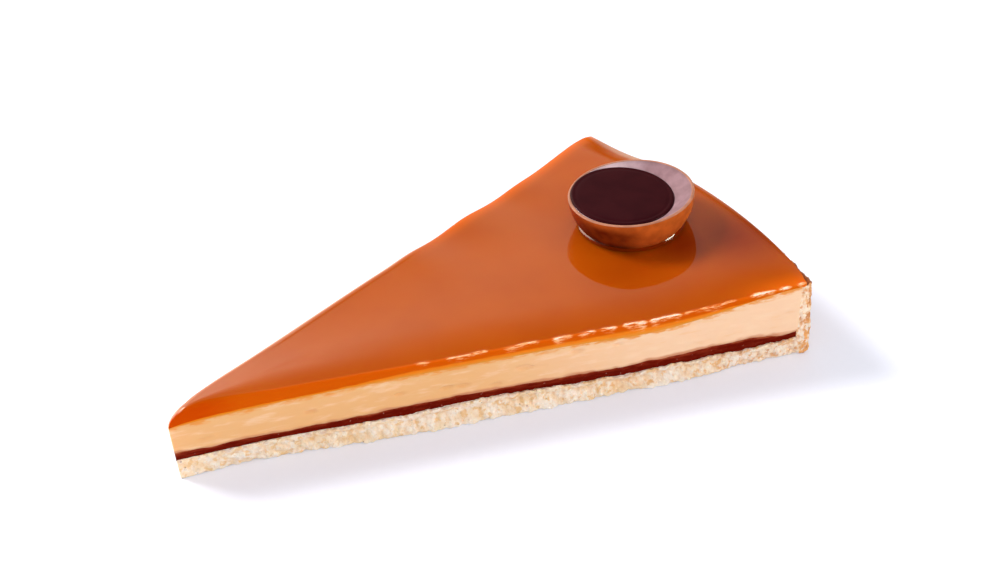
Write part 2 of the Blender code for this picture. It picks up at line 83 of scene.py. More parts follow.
# Crust
BASE_HEIGHT = 4.4 * MM
BASE_TIP_RANGE = mm(15.0, 45.0, 0.7)
BASE_WAVE = 0.3 * MM
BASE_WAVE_LENGTH = 100.0 * MM
BASE_WAVE_START = 15.0 * MM
BASE_HUMP_BELL = mm(64.0, 12.0, 0.75)
WALL_THICKNESS = 2.7 * MM
WALL_INSIDE = TART_RADIUS - WALL_THICKNESS
FILLING_RADIUS = WALL_INSIDE - 0.05 * MM
BASE_FILLET_RANGE = (WALL_INSIDE - 4.0 * MM, WALL_INSIDE, 0.7 * MM)
WALL_TOP = 18.2 * MM
WALL_TOP_ROUNDING = 0.5 * MM
WALL_FLARE = 1.2 * MM
FOOT_ROUNDING = 1.3 * MM
RIM_DIP_BELL = (math.radians(12.5), math.radians(4.6), 1.5 * MM)
RIM_DIP_RANGE = (TART_RADIUS - 9.0 * MM, TART_RADIUS)
CRUMB_SIZE = 3.4 * MM
CRUMB_DEPTH = 0.45 * MM
SMALL_CRUMB_SIZE = 1.3 * MM
SMALL_CRUMB_DEPTH = 0.6 * MM
SMALL_CRUMB_POWER = 1.5
GRAIN_SIZE = 0.55 * MM
GRAIN_DEPTH = 0.22 * MM
FOOT_CRUMB_DEPTH = 1.1 * MM
FOOT_UP_RANGE = (0.0, 0.6)
FOOT_SPREAD = 1.7 * MM
FOOT_SPREAD_RANGE = mm(20.0, 45.0)
FOOT_SPREAD_END_RANGE = mm(108.0, 124.0)
FOOT_LIFT = 0.35 * MM
FOOT_LIFT_RANGE = (0.0, 0.35)
TOP_FLUSH_RANGE = (0.6, 0.9, 0.95)
EDGE_CRUMB_SIZE = 1.7 * MM
EDGE_CRUMB_MIDDLE = 0.45
EDGE_RAGGEDNESS = 0.9 * MM
EDGE_SWELL = 0.7 * MM
EDGE_SWELL_SIZE = 7.0 * MM
EDGE_RANGE = (0.6, 1.0)
TIP_CRUMB_REACH = 12.0 * MM
RIM_CRUMB_HEIGHT = 0.7 * MM
RIM_RAISE_RANGE = (-0.75, -0.2)
RIM_OUTER_RANGE = (0.2, 0.55, 1.0 * MM)
TOAST_REACH = 2.6 * MM
TOAST_NARROWS = 0.65
TOAST_FULL = 0.3
END_TOAST_RANGE = (100.0 * MM, TART_RADIUS - TOAST_REACH, 0.3)
RIM_TOAST = 1.5
BASE_STAIN_RANGE = (0.65, 1.0)
WALL_STAIN_RANGE = (0.8, 1.0)

# Grid of the crust: its base takes up BASE_SHARE of the block's length
BASE_SHARE = 0.82
CRUST_BASE_COLUMNS = 150
CRUST_WALL_COLUMNS = 14
CRUST_COLUMNS = CRUST_BASE_COLUMNS + CRUST_WALL_COLUMNS
CRUST_CELLS = (CRUST_COLUMNS, 60, 6)
FINE_CUTS = 3

# Chocolate layer
CHOCOLATE_THICKNESS = 1.75 * MM
CHOCOLATE_MORE_RANGE = mm(20.0, 55.0, 0.7)
CHOCOLATE_OUTER_RANGE = mm(100.0, 125.0, 0.4)
CHOCOLATE_WAVE = 0.12 * MM
CHOCOLATE_WAVE_LENGTH = 70.0 * MM
CHOCOLATE_WAVE_START = 45.0 * MM
CHOCOLATE_RIPPLE = 0.28 * MM
CHOCOLATE_RIPPLE_SIZE = 5.0 * MM
CHOCOLATE_FINE_RIPPLE = 0.13 * MM
CHOCOLATE_FINE_RIPPLE_SIZE = 1.7 * MM
CHOCOLATE_TAPER_RANGE = (120.0 * MM, FILLING_RADIUS, 0.5)
CHOCOLATE_OVERLAP = 0.45 * MM
CHOCOLATE_RECESS = 0.38 * MM
CHOCOLATE_RELIEF = 0.14 * MM
CHOCOLATE_GRAIN_SHARE = 0.6
CHOCOLATE_CELLS = (120, 8, 3)

# Caramel cream
CREAM_TOP = 14.45 * MM
CREAM_RISE_RANGE = mm(102.0, 134.0, 3.75)
CREAM_DIP_BELL = mm(95.0, 9.0, 0.65)
CREAM_TIP_DROP = 1.5 * MM
CREAM_TIP_REACH = 12.0 * MM
CREAM_RELIEF = 0.13 * MM
CREAM_SMEAR_LENGTH = 7.0 * MM
CREAM_SMEAR_HEIGHT = 0.8 * MM
FINE_SMEAR_SHARE = 0.3
FINE_SMEARS_ALONG = 2.6
FINE_SMEARS_UP = 2.2
CREAM_PIT_DEPTH = 0.45 * MM
PIT_SPACING = 8.0 * MM
PIT_HEIGHT = 2.2 * MM
PIT_RANGE = (0.08, 0.26)
CREAM_CELLS = (110, 12, 7)

# These only pick another run of the noise for each cut
SMEAR_PICK = 7.0
FINE_SMEAR_PICK = 3.0
PIT_PICK = 5.0

# Caramel glaze
GLAZE_TOP = 17.35 * MM
GLAZE_RISE_RANGE = mm(99.0, 134.0, 2.25)
GLAZE_ROUNDING_START = 131.0 * MM
GLAZE_TIP_DROP = 2.4 * MM
GLAZE_TIP_REACH = 3.0 * MM
TIP_ROUNDING = 2.5 * MM
TIP_ROUNDING_REACH = 8.0 * MM
GLAZE_RIM_DROP = 0.75 * MM
GLAZE_RADIUS_FRONT = 133.4 * MM
GLAZE_RADIUS_BACK = 134.8 * MM
GLAZE_END_RANGE = (0.2, 0.6, GLAZE_RADIUS_BACK - GLAZE_RADIUS_FRONT)
GLAZE_CORNER_RANGE = (0.0, 0.12, 0.6 * MM)
CUT_SHAPE_RANGE = mm(15.0, 60.0)
SHOULDER_POINT = 2.0 * MM
SHOULDER_POINT_RANGE = mm(9.0, 22.0)
SHOULDER_TIP = 1.0 * MM
SHOULDER_OUTER = 0.7 * MM
SHOULDER_BACK_TIP = 1.5 * MM
SHOULDER_CHANGE_RANGE = mm(28.0, 52.0)
SHOULDER_FALL = 0.8
SHOULDER_MOST = 0.8 * math.sin(HALF_ANGLE)
BACK_TIP_REACH = 16.0 * MM
TIP_SLOPE = 0.6 * MM
TIP_SLOPE_WIDTH = 6.5 * MM
TIP_SLOPE_RANGE = mm(22.0, 55.0)
FRONT_DROOP = 0.95 * MM
FRONT_DROOP_WIDTH = 11.0 * MM
FRONT_DROOP_END_RANGE = mm(130.0, 137.0)
FRONT_DROOP_BELL = mm(125.0, 8.0, 0.35)
BACK_SWELL = 0.65 * MM
BACK_SWELL_WIDTH = 20.0 * MM
BACK_SWELL_END_RANGE = mm(95.0, 120.0)
BACK_WAVE = 0.3 * MM
BACK_WAVE_LENGTH = 20.5 * MM
BACK_WAVE_PEAK = 66.0 * MM
BACK_WAVE_RANGE = mm(55.0, 75.0)
CUT_RELIEF = 0.12 * MM

# Grid of the glaze, with its lengthwise lines closer together near the cuts
SHOULDER_LINES = 12
EDGE_LINES = 9
INNER_LINES = 12
GLAZE_LINES = 2 * (SHOULDER_LINES + EDGE_LINES + INNER_LINES)
GLAZE_CELLS = (420, GLAZE_LINES, 8)
EDGE_WIDTH = 2.6 * MM
SHOULDER_CROWDING = 1.6
INNER_CROWDING = 1.3

# Painted glow where light comes through the thin edges of the glaze, and a painted pale sheen along
# its back edge
EDGE_GLOW_FRONT = 1.5 * MM
EDGE_GLOW_TIP = 1.6 * MM
EDGE_GLOW_BACK = 4.0 * MM
EDGE_GLOW_RANGE = mm(60.0, 90.0)
EDGE_GLOW_CORNER = 5.5 * MM
EDGE_GLOW_CORNER_RANGE = mm(114.0, 130.0)
RIM_GLOW = 5.0 * MM
RIM_GLOW_RANGE = (0.05, 0.4)
PAINTED_SHEEN_RANGE = mm(0.25, 0.9)
PAINTED_SHEEN_END_RANGE = mm(62.0, 80.0)

# The crinkled bead where the knife tore the front edge of the glaze
LIP_HEIGHT = 0.3 * MM
LIP_WIDTH = 0.47 * MM
LIP_LEAST_WIDTH = 0.65
LIP_FROM_CUT = 0.5 * MM
LIP_WANDER = 0.3 * MM
LIP_PIECE_LENGTH = 5.0 * MM
LIP_PIECE_RANGE = mm(-0.8, 1.2)
LIP_PIECE_EVEN = 0.85
LIP_PIECE_UNEVEN = 0.45
LIP_CRINKLE_LENGTH = 2.4 * MM
LIP_CRINKLES_ACROSS = 2.0
LIP_EVEN = 0.85
LIP_CRINKLE = 0.4
LIP_FINE_CRINKLE = 0.2

# Its pieces: from and to, in mm from the centre, and how much is torn, which also sets how strong
# the painted highlight on the tear is
TORN_PIECES = (
    (48.8, 51.9, 0.5), (54.9, 64.0, 0.55), (66.7, 74.7, 0.6), (77.2, 81.9, 0.7),
    (82.6, 86.6, 0.8), (87.5, 91.2, 0.85), (92.5, 97.7, 1.0), (98.4, 105.4, 1.0),
    (105.6, 117.7, 0.5), (120.8, 126.7, 0.8), (127.0, 129.9, 1.0), (131.1, 133.2, 0.9),
)

# The fine line beside the back edge of the glaze
BACK_LINE_HEIGHT = 0.05 * MM
BACK_LINE_WIDTH = 0.2 * MM
BACK_LINE_FROM_CUT = 1.3 * MM
BACK_LINE_RANGE = mm(24.0, 30.0)
BACK_LINE_END_RANGE = mm(66.0, 72.0)

# Painted shadow of the cup on the glaze, darkest beside its foot: x, y, spread and strength of its
# spots
FOOT_PAINTED_SHADOW_REACH = 2.6 * MM
GLAZE_PAINTED_SHADOW_SHARE = 0.9
GLAZE_PAINTED_SHADOW_SPOTS = (
    (49.0 * MM, -12.5 * MM, 8.5 * MM, 1.0), (59.0 * MM, -17.0 * MM, 11.0 * MM, 1.0),
    (36.0 * MM, -13.0 * MM, 12.0 * MM, 0.4),
)

# The glaze that climbs the foot of the cup
MENISCUS_HEIGHT = 0.9 * MM
MENISCUS_POWER = 2.4
MENISCUS_WIDTH = 1.4 * MM
MENISCUS_INSIDE = 0.5 * MM
MENISCUS_LINES = 10
MENISCUS_SINK = 0.03 * MM
MENISCUS_DEPTH = 0.8 * MM
HALVINGS = 40

# Chocolate cup
CUP_RADIUS = 14.0 * MM
CUP_CENTRE = Vector((45.0, 2.3, 26.1)) * MM
CUP_TILT = math.radians(5.5)
CUP_TILT_AZIMUTH = math.radians(-22.5)
CUP_CURVE_DEPTH = 12.1 * MM
CUP_CURVE_POWER = 2.1
CUP_HEIGHT = 9.0 * MM
CUP_FOOT_RADIUS = 9.4 * MM
CUP_FOOT_BEVEL = 0.4 * MM
CUP_RIM_WIDTH = 0.65 * MM
CUP_RIM_BEVEL = 0.25 * MM
CUP_RIM_BEVEL_POWER = 4
CUP_RIM_STEP = 0.15 * MM
CUP_RIM_STEP_POWER = 0.6
CUP_BOWL_RADIUS = CUP_RADIUS - CUP_RIM_WIDTH
CUP_BOWL_DEPTH = 4.8 * MM
BOWL_BALL_RADIUS = (CUP_BOWL_RADIUS ** 2 + CUP_BOWL_DEPTH ** 2) / (2.0 * CUP_BOWL_DEPTH)
CUP_SIDE_START = 0.35 * MM
CUP_SEGMENTS = 160
CUP_BOWL_POINTS = 18
CUP_RIM_POINTS = 10
CUP_SIDE_POINTS = 24
CUP_UNEVENNESS = 0.07 * MM
CUP_SWELLS = 1.3
CUP_SWELL_HEIGHT = 4.0 * MM
CUP_RIM_SWELLS = 2.0
CUP_RIM_UNEVENNESS = 0.6
CUP_RIM_SWELL_POWER = 6

# Painted shade and light on the cup: azimuths and widths in degrees round it, and the depths where
# the painted shade starts
CUP_PAINTED_SHADE_AZIMUTH = -154.0
CUP_PAINTED_SHADE_RANGE = (12.0, 46.0)
CUP_PAINTED_SHADE_LOW_RANGE = mm(0.8, 3.5)
CUP_PAINTED_LEFT_SHADE_RANGE = (8.0, 32.0)
CUP_PAINTED_LEFT_SHADE_END_RANGE = (90.0, 165.0)
CUP_PAINTED_LIGHT_AZIMUTH = 128.0
CUP_PAINTED_LIGHT_RANGE = (50.0, 105.0)

# What fills the cup. Its grid lines are counted in from the edge, in rolls and then in mm
FILL_LEVEL = 25.0 * MM
FILL_EDGE = 0.4 * MM
FILL_ROLL = 0.7 * MM
FILL_GROOVE_BELL = (1.6 * FILL_ROLL, 0.6 * FILL_ROLL, 0.06 * MM)
FILL_SLOPE = (0.0139, 0.0535)
FILL_ROLL_LINES = (
    0.0, 0.1, 0.2, 0.35, 0.5, 0.65, 0.8, 1.0, 1.15, 1.3, 1.45, 1.6, 1.8, 2.1, 2.5, 3.2,
)
FILL_INNER_LINES = (4.0, 6.0, 8.0, 10.0)
FILL_BOTTOM_LINES = 5
FILL_INTO_BOWL = 0.1 * MM

# Colours, as linear red, green and blue
PASTRY_PALE = (1.0, 0.85, 0.71)
PASTRY_WARM = (0.99, 0.77, 0.54)
PASTRY_WHITE = (1.0, 0.90, 0.78)
PASTRY_STRAW = (0.88, 0.56, 0.26)
PASTRY_GOLD = (0.86, 0.48, 0.20)
PASTRY_DEEP = (0.72, 0.45, 0.22)
PASTRY_SPECK = (0.30, 0.13, 0.07)
TOASTED = (0.90, 0.42, 0.14)
TOASTED_PALE = (1.0, 0.74, 0.48)
TOASTED_DARK = (0.48, 0.14, 0.035)
TOASTED_RIM = (0.26, 0.07, 0.02)
CHOCOLATE_DEEP = (0.125, 0.0045, 0.0006)
CHOCOLATE_SMEARED = (0.175, 0.013, 0.004)
CHOCOLATE_EDGE = (0.24, 0.024, 0.008)
CHOCOLATE_TOP = (0.39, 0.095, 0.036)
CHOCOLATE_LIGHT = (0.50, 0.22, 0.16)
CHOCOLATE_HALO = (0.45, 0.15, 0.06)
CREAM_HALO = (0.62, 0.22, 0.10)
CREAM_TIP_COLOR = (0.82, 0.45, 0.185)
CREAM_OUTER_COLOR = (0.91, 0.595, 0.375)
CREAM_PALE = (0.95, 0.66, 0.44)
CREAM_DEEP = (0.84, 0.45, 0.17)
GLAZE_BODY = (0.437, 0.073, 0.001)
GLAZE_BODY_DEEP = (0.408, 0.065, 0.001)
GLAZE_SHOULDER = (0.65, 0.101, 0.0016)
# Painted glow of light through the glaze's thin edges
GLAZE_PAINTED_GLOW = (0.72, 0.12, 0.002)
GLAZE_TIP = (0.60, 0.066, 0.0006)
# Painted shadow of the cup on the glaze
GLAZE_PAINTED_SHADOW = (0.20, 0.014, 0.0004)
# Painted pale sheen along the back edge of the glaze
GLAZE_PAINTED_SHEEN = (0.85, 0.42, 0.26)
GLAZE_CUT = (0.83, 0.215, 0.012)
GLAZE_BLEED = (0.82, 0.29, 0.04)
# The torn front edge: partly paler torn glaze, partly painted sheen and highlight
GLAZE_TORN_PAINTED_SHEEN = (0.93, 0.42, 0.15)
GLAZE_TORN_PAINTED_HIGHLIGHT = (0.97, 0.78, 0.66)
# Painted shade and dark reflection low on the cup's outside
CUP_PAINTED_SHADE = (0.10, 0.007, 0.001)
# Painted shade: the cup's left side darker
CUP_LEFT_PAINTED_SHADE = (0.29, 0.034, 0.004)
# Painted light on the inside of the cup toward the back and left
CUP_INSIDE_PAINTED_LIGHT = (0.75, 0.54, 0.575)
CUP_TINT = (0.76, 0.73, 0.72)
GANACHE = (0.034, 0.004, 0.006)
GANACHE_DEEP = (0.028, 0.003, 0.005)

# Name, colour, roughness and specular level of the cup's inside, rim and outside. The inside's
# mauve and the rim's pale pink are partly painted sheen.
CUP_FINISHES = (
    ("cup_inside", (0.31, 0.175, 0.195), 0.5, 0.15),
    ("cup_rim", (0.47, 0.20, 0.12), 0.45, 0.15),
    ("cup_outside", (0.57, 0.120, 0.017), 0.45, 0.03),
)

# Patterns: the noise's size, or its sizes along, across and up the cut, its detail and its
# roughness, then the start, end, low and high of a ramp
CRUST_PATCHES = (7.0 * MM, 2.0, 0.5, 0.35, 0.65)
CRUST_WHITE_SPOTS = (1.1 * MM, 3.0, 0.5, 0.50, 0.60, 0.0, 0.9)
CRUST_GOLD_SPOTS = (1.5 * MM, 3.0, 0.6, 0.54, 0.63, 0.0, 0.85)
CRUST_FISSURES = (0.6 * MM, 3.0, 0.6, 0.43, 0.33, 0.0, 0.4)
CRUST_STAINS = (1.1 * MM, 2.0, 0.5, 0.3, 0.6, 0.2, 1.1)
CRUST_GRAINS = (0.45 * MM, 3.0, 0.6)
BAKED_PATCHES = (14.0 * MM, 4.0, 0.6, 0.3, 0.75)
BAKED_PALE_SPOTS = (1.2 * MM, 3.0, 0.5, 0.48, 0.62, 0.0, 0.7)
BAKED_EDGE = (1.1 * MM, 3.0, 0.5, 0.35, 0.65, -0.9, 0.25)
CHOCOLATE_STREAKS = (mm(3.0, 3.0, 0.5), 3.0, 0.6)
CHOCOLATE_SPOTS = (0.8 * MM, 2.0, 0.5, 0.68, 0.76, 0.0, 0.5)
CHOCOLATE_BUMPS = (0.5 * MM, 3.0, 0.5)
CREAM_SMEARS = (mm(6.0, 6.0, 1.3), 3.0, 0.55)
CREAM_FOOT_EDGE = (mm(5.0, 5.0, 2.0), 2.0, 0.5, 0.3, 0.7, 0.035, -0.035)
CREAM_TOP_EDGE = (mm(3.0, 3.0, 0.8), 3.0, 0.6, 0.3, 0.7, -0.08, 0.05)
GLAZE_CLOUDS = (16.0 * MM, 2.0, 0.5, 0.3, 0.7)
GLAZE_FRAY = (mm(1.8, 0.3, 0.3), 4.0, 0.65, 0.33, 0.66, 0.1, 1.7)
GLAZE_BUMPS = (5.0 * MM, 1.0, 0.5)
CUP_PAINTED_SHADE_SMUDGES = (3.6 * MM, 1.0, 0.5, 0.3, 0.7, 0.70, 1.0)
CUP_CLOUDS = (2.6 * MM, 3.0, 0.5, 0.3, 0.7)
CUP_BUMPS = (1.2 * MM, 3.0, 0.5)
GANACHE_CLOUDS = (5.0 * MM, 2.0, 0.5, 0.3, 0.7)
GANACHE_BUMPS = (2.0 * MM, 2.0, 0.5)
SPECK_SPACING = 2.6 * MM
PIMPLE_SPACING = 0.9 * MM

# How much of a colour is mixed in: start, end, low and high of a ramp
GOLD_ALONG = mm(-5.0, 50.0)
# Painted shade in the cracks between crumbs
CRACK_PAINTED_SHADE = (0.3, 0.75, 0.0, 0.65)
SPECK_SHARE = (0.10, 0.05, 0.0, 0.6)
STAIN_SHARE = (0.5, 1.1, 0.0, 0.4)
BAKED_CRACK_PAINTED_SHADE = (0.3, 0.9, 0.0, 0.5)
TOAST_SHARE = (0.1, 0.7)
RIM_SHARE = (1.0, 1.4)
STREAK_SHARE = (0.42, 0.68)
STREAK_RISE = (0.3, 0.7, -0.12, 0.12)
CHOCOLATE_EDGE_SHARE = (0.58, 0.92, 0.0, 0.9)
CHOCOLATE_TOP_SHARE = (0.80, 1.02, 0.0, 0.9)
CREAM_ALONG = (0.4, 0.8)
CREAM_PALE_SHARE = (0.5, 0.72, 0.0, 0.45)
CREAM_DEEP_SHARE = (0.46, 0.25, 0.0, 0.3)
CREAM_HALO_SHARE = (0.10, 0.0, 0.0, 0.9)
BLEED_ALONG = (0.45, 0.12, 0.0, 0.03)
CREAM_BLEED_SHARE = (0.87, 1.0, 0.0, 0.95)
TIP_ALONG = mm(-53.0, -62.0)
SHOULDER_SHARE = (0.55, 0.05)
CUT_SHARE = (0.98, 0.6)
CUT_BLEED_SHARE = (0.55, 0.0)
TORN_PAINTED_SHEEN_SHARE = (0.12, 0.5, 0.0, 0.85)
TORN_PAINTED_HIGHLIGHT_SHARE = (0.45, 1.0, 0.0, 0.9)

# Camera
CAMERA_RIGHT = (0.8335609, -0.55222395, -0.01499814)
CAMERA_UP = (0.32077501, 0.4617371, 0.82698382)
CAMERA_BACK = (-0.44975507, -0.69415241, 0.56202564)
CAMERA_PLACE = (-0.13499451, -0.22156846, 0.19695692)
CAMERA_LENS = 54.0
CAMERA_SENSOR = 36.0
CAMERA_NEAR = 0.01

# Light: name, azimuth and elevation in degrees, distance, size and power
LIGHTS = (
    ("key", 122.0, 41.0, 1.2, (0.42, 0.36), 12.9),
    ("fill", -50.0, 12.0, 1.2, (0.6, 0.4), 3.8),
    ("front", -123.0, 45.0, 1.2, (0.8, 0.6), 1.5),
)
WORLD_COLOR = (1.0, 0.985, 1.0)
WORLD_STRENGTH = 0.75
FLOOR_RADIUS = 4.0
FLOOR_SEGMENTS = 96
FLOOR_COLOR = (0.79, 0.80, 0.875)
FLOOR_GLOW_COLOR = (0.75, 0.85, 1.0)
FLOOR_GLOW = 0.15

# The mirrored room: each ramp runs over a direction's height, its way right or its way back
ROOM_RADIUS = 2.5
ROOM_SEGMENTS = 64
ROOM_RINGS = 32
ROOM_COLOR = (1.0, 1.03, 0.87)
ROOM_HIGH = (0.45, 0.82, 1.0, 0.08)
ROOM_LOW = (0.28, 0.45, 0.14, 1.0)
ROOM_RIGHT = (0.7, 0.35, 0.3, 1.25)
ROOM_LEFT = (0.42, 0.05, 0.0, 5.0)
ROOM_WINDOW = (-0.15, -0.6, 0.0, 1.0)
ROOM_HORIZON = (0.3, 0.0, 0.0, 1.3)
HORIZON_RIGHT = (0.1, -0.3, 0.75, 1.0)
ROOM_BEHIND = (-0.05, 0.2)

# Softboxes that only small curved places mirror: azimuth, elevation, half width, brightness
SOFTBOXES = (
    (120.0, 47.0, 5.0, 25.0),
    (-35.0, 37.0, 9.0, 25.0),
    (-163.0, 52.0, 4.0, 25.0),
)


# Helpers
def rising(value, start, end, full=1.0):
    """0 before start, full after end, and an even curve between them."""
    t = min(max((value - start) / (end - start), 0.0), 1.0)
    return full * (t * t * (3.0 - 2.0 * t))


def falling(value, start, end, full=1.0):
    """full before start, 0 after end, and an even curve between them."""
    return full * (1.0 - rising(value, start, end))


def bell(value, middle, spread, height=1.0):
    """height at the middle, falling off smoothly on both sides of it."""
    return height * math.exp(-(((value - middle) / spread) ** 2))


def rounded(share):
    """Fall of a rounded edge: 1 at share 0, which is the very edge, and 0 at share 1."""
    return 1.0 - math.sqrt(1.0 - (1.0 - share) ** 2)


def unevenness(x, y, z, size):
    """Smooth unevenness from -1 to 1 with swells of about the given size.

    Where the place has fewer than three numbers, a whole one only picks another run.
    """
    return noise.noise(Vector((x, y, z)) / size)


def crumbs(x, y, z, size):
    """Depth from 0 on the middle of a crumb to about 1 in the cracks between crumbs."""
    nearest = noise.voronoi(Vector((x, y, z)) / size)[0][0]
    return min(1.0, nearest)


def unit_block(cells):
    """A cube from 0 to 1 on each axis, cut into this many cells on each axis."""
    bm = bmesh.new()
    bmesh.ops.create_cube(bm, size=1.0, matrix=Matrix.Translation((0.5, 0.5, 0.5)))
    for axis, count in enumerate(cells):
        edges = [e for e in bm.edges if abs(e.verts[0].co[axis] - e.verts[1].co[axis]) > 0.5]
        bmesh.ops.subdivide_edges(bm, edges=edges, cuts=count - 1, use_grid_fill=True)
    return bm


def refine(bm, shows):
    """Cut the faces that show into a finer grid. The mesh stays closed."""
    edges = [e for e in bm.edges if any(shows(f) for f in e.link_faces)]
    bmesh.ops.subdivide_edges(bm, edges=edges, cuts=FINE_CUTS, use_grid_fill=True)


def on_cut(face):
    """True for a face of the block on one of the two cuts."""
    return all(v.co.y < TINY for v in face.verts) or all(v.co.y > ALMOST for v in face.verts)


def place(r, angle, z):
    """The point at distance r and angle from the tart's centre, with the tip's forward lean."""
    lean = (TIP_STRETCH + TIP_LEAN * z / CREAM_TOP) * bell(r, 0.0, TIP_LEAN_REACH)
    return Vector((CENTRE_X + r * math.cos(angle) - lean, r * math.sin(angle), z))


def radial(share, end):
    """Distance from the centre for a share of the way out, with rows closer at both ends."""
    eased = share - ROW_CROWDING * math.sin(math.tau * share) / math.tau
    return TIP_RADIUS + (end - TIP_RADIUS) * eased


def at_tip(r):
    """Share of the relief that is left toward the tip."""
    return min(1.0, r / TIP_CRUMB_REACH)


def mesh_from(name, bm):
    """A mesh made from a bmesh, which is freed."""
    mesh = bpy.data.meshes.new(name)
    bm.to_mesh(mesh)
    bm.free()
    return mesh


def in_scene(name, data):
    """A new object with this data, linked to the scene."""
    obj = bpy.data.objects.new(name, data)
    bpy.context.scene.collection.objects.link(obj)
    return obj


def add_piece(name, node, bm, materials, keys=(), rows=(), sharp=50.0):
    """Make the piece that stands for a node. A row holds a vertex's numbers for the keys."""
    mesh = mesh_from(name, bm)
    mesh.shade_smooth()
    mesh.set_sharp_from_angle(angle=math.radians(sharp))
    for material in materials:
        mesh.materials.append(material)
    for key, numbers in zip(keys, zip(*rows)):
        mesh.attributes.new(key, "FLOAT", "POINT").data.foreach_set("value", numbers)
    obj = in_scene(name, mesh)
    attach(obj, "root")
    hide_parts(node)


# Heights of the layers
def rim_dip(r, angle):
    """How far the rim and what lies on it sag at the low spot near the back corner."""
    return bell(angle, *RIM_DIP_BELL) * rising(r, *RIM_DIP_RANGE)


def base_hump(r):
    """The swell of the crumb base where the chocolate above it thins."""
    return bell(r, *BASE_HUMP_BELL)


def base_top(r):
    wave = BASE_WAVE * math.sin(math.tau * (r - BASE_WAVE_START) / BASE_WAVE_LENGTH)
    more = falling(r, *BASE_TIP_RANGE)
    fillet = rising(r, *BASE_FILLET_RANGE)
    return BASE_HEIGHT + more + wave + fillet + base_hump(r)


def chocolate_top(r, angle):
    wave = math.sin(math.tau * (r - CHOCOLATE_WAVE_START) / CHOCOLATE_WAVE_LENGTH)
    ripple = CHOCOLATE_RIPPLE * unevenness(r, r * angle, 0.0, CHOCOLATE_RIPPLE_SIZE)
    ripple += CHOCOLATE_FINE_RIPPLE * unevenness(r, r * angle, 1.0, CHOCOLATE_FINE_RIPPLE_SIZE)
    thickness = CHOCOLATE_THICKNESS + CHOCOLATE_WAVE * wave + ripple
    thickness += rising(r, *CHOCOLATE_MORE_RANGE)
    thickness += rising(r, *CHOCOLATE_OUTER_RANGE)
    thickness *= 1.0 - rising(r, *CHOCOLATE_TAPER_RANGE)
    return base_top(r) + thickness - base_hump(r)


def cream_top(r):
    rise = rising(r, *CREAM_RISE_RANGE) - bell(r, *CREAM_DIP_BELL)
    return CREAM_TOP + rise - CREAM_TIP_DROP * math.exp(-r / CREAM_TIP_REACH)


def glaze_bottom(r):
    """The cream's top, stepping down past it to the top of the crust wall."""
    step = cream_top(FILLING_RADIUS) - WALL_TOP
    return cream_top(r) - step * rising(r, FILLING_RADIUS, FILLING_RADIUS + MM)


def glaze_top(r):
    """The glaze away from the cuts: level, rising to the wall, rounded off at its end."""
    rise = rising(r, *GLAZE_RISE_RANGE)
    rounding = max(0.0, (r - GLAZE_ROUNDING_START) / (TART_RADIUS - GLAZE_ROUNDING_START))
    tip = GLAZE_TIP_DROP * math.exp(-r / GLAZE_TIP_REACH)
    inside = min(max((r - TIP_RADIUS) / (TIP_ROUNDING_REACH - TIP_RADIUS), 0.0), 1.0)
    tip += TIP_ROUNDING * rounded(inside)
    return GLAZE_TOP + rise - GLAZE_RIM_DROP * rounding ** 2 - tip


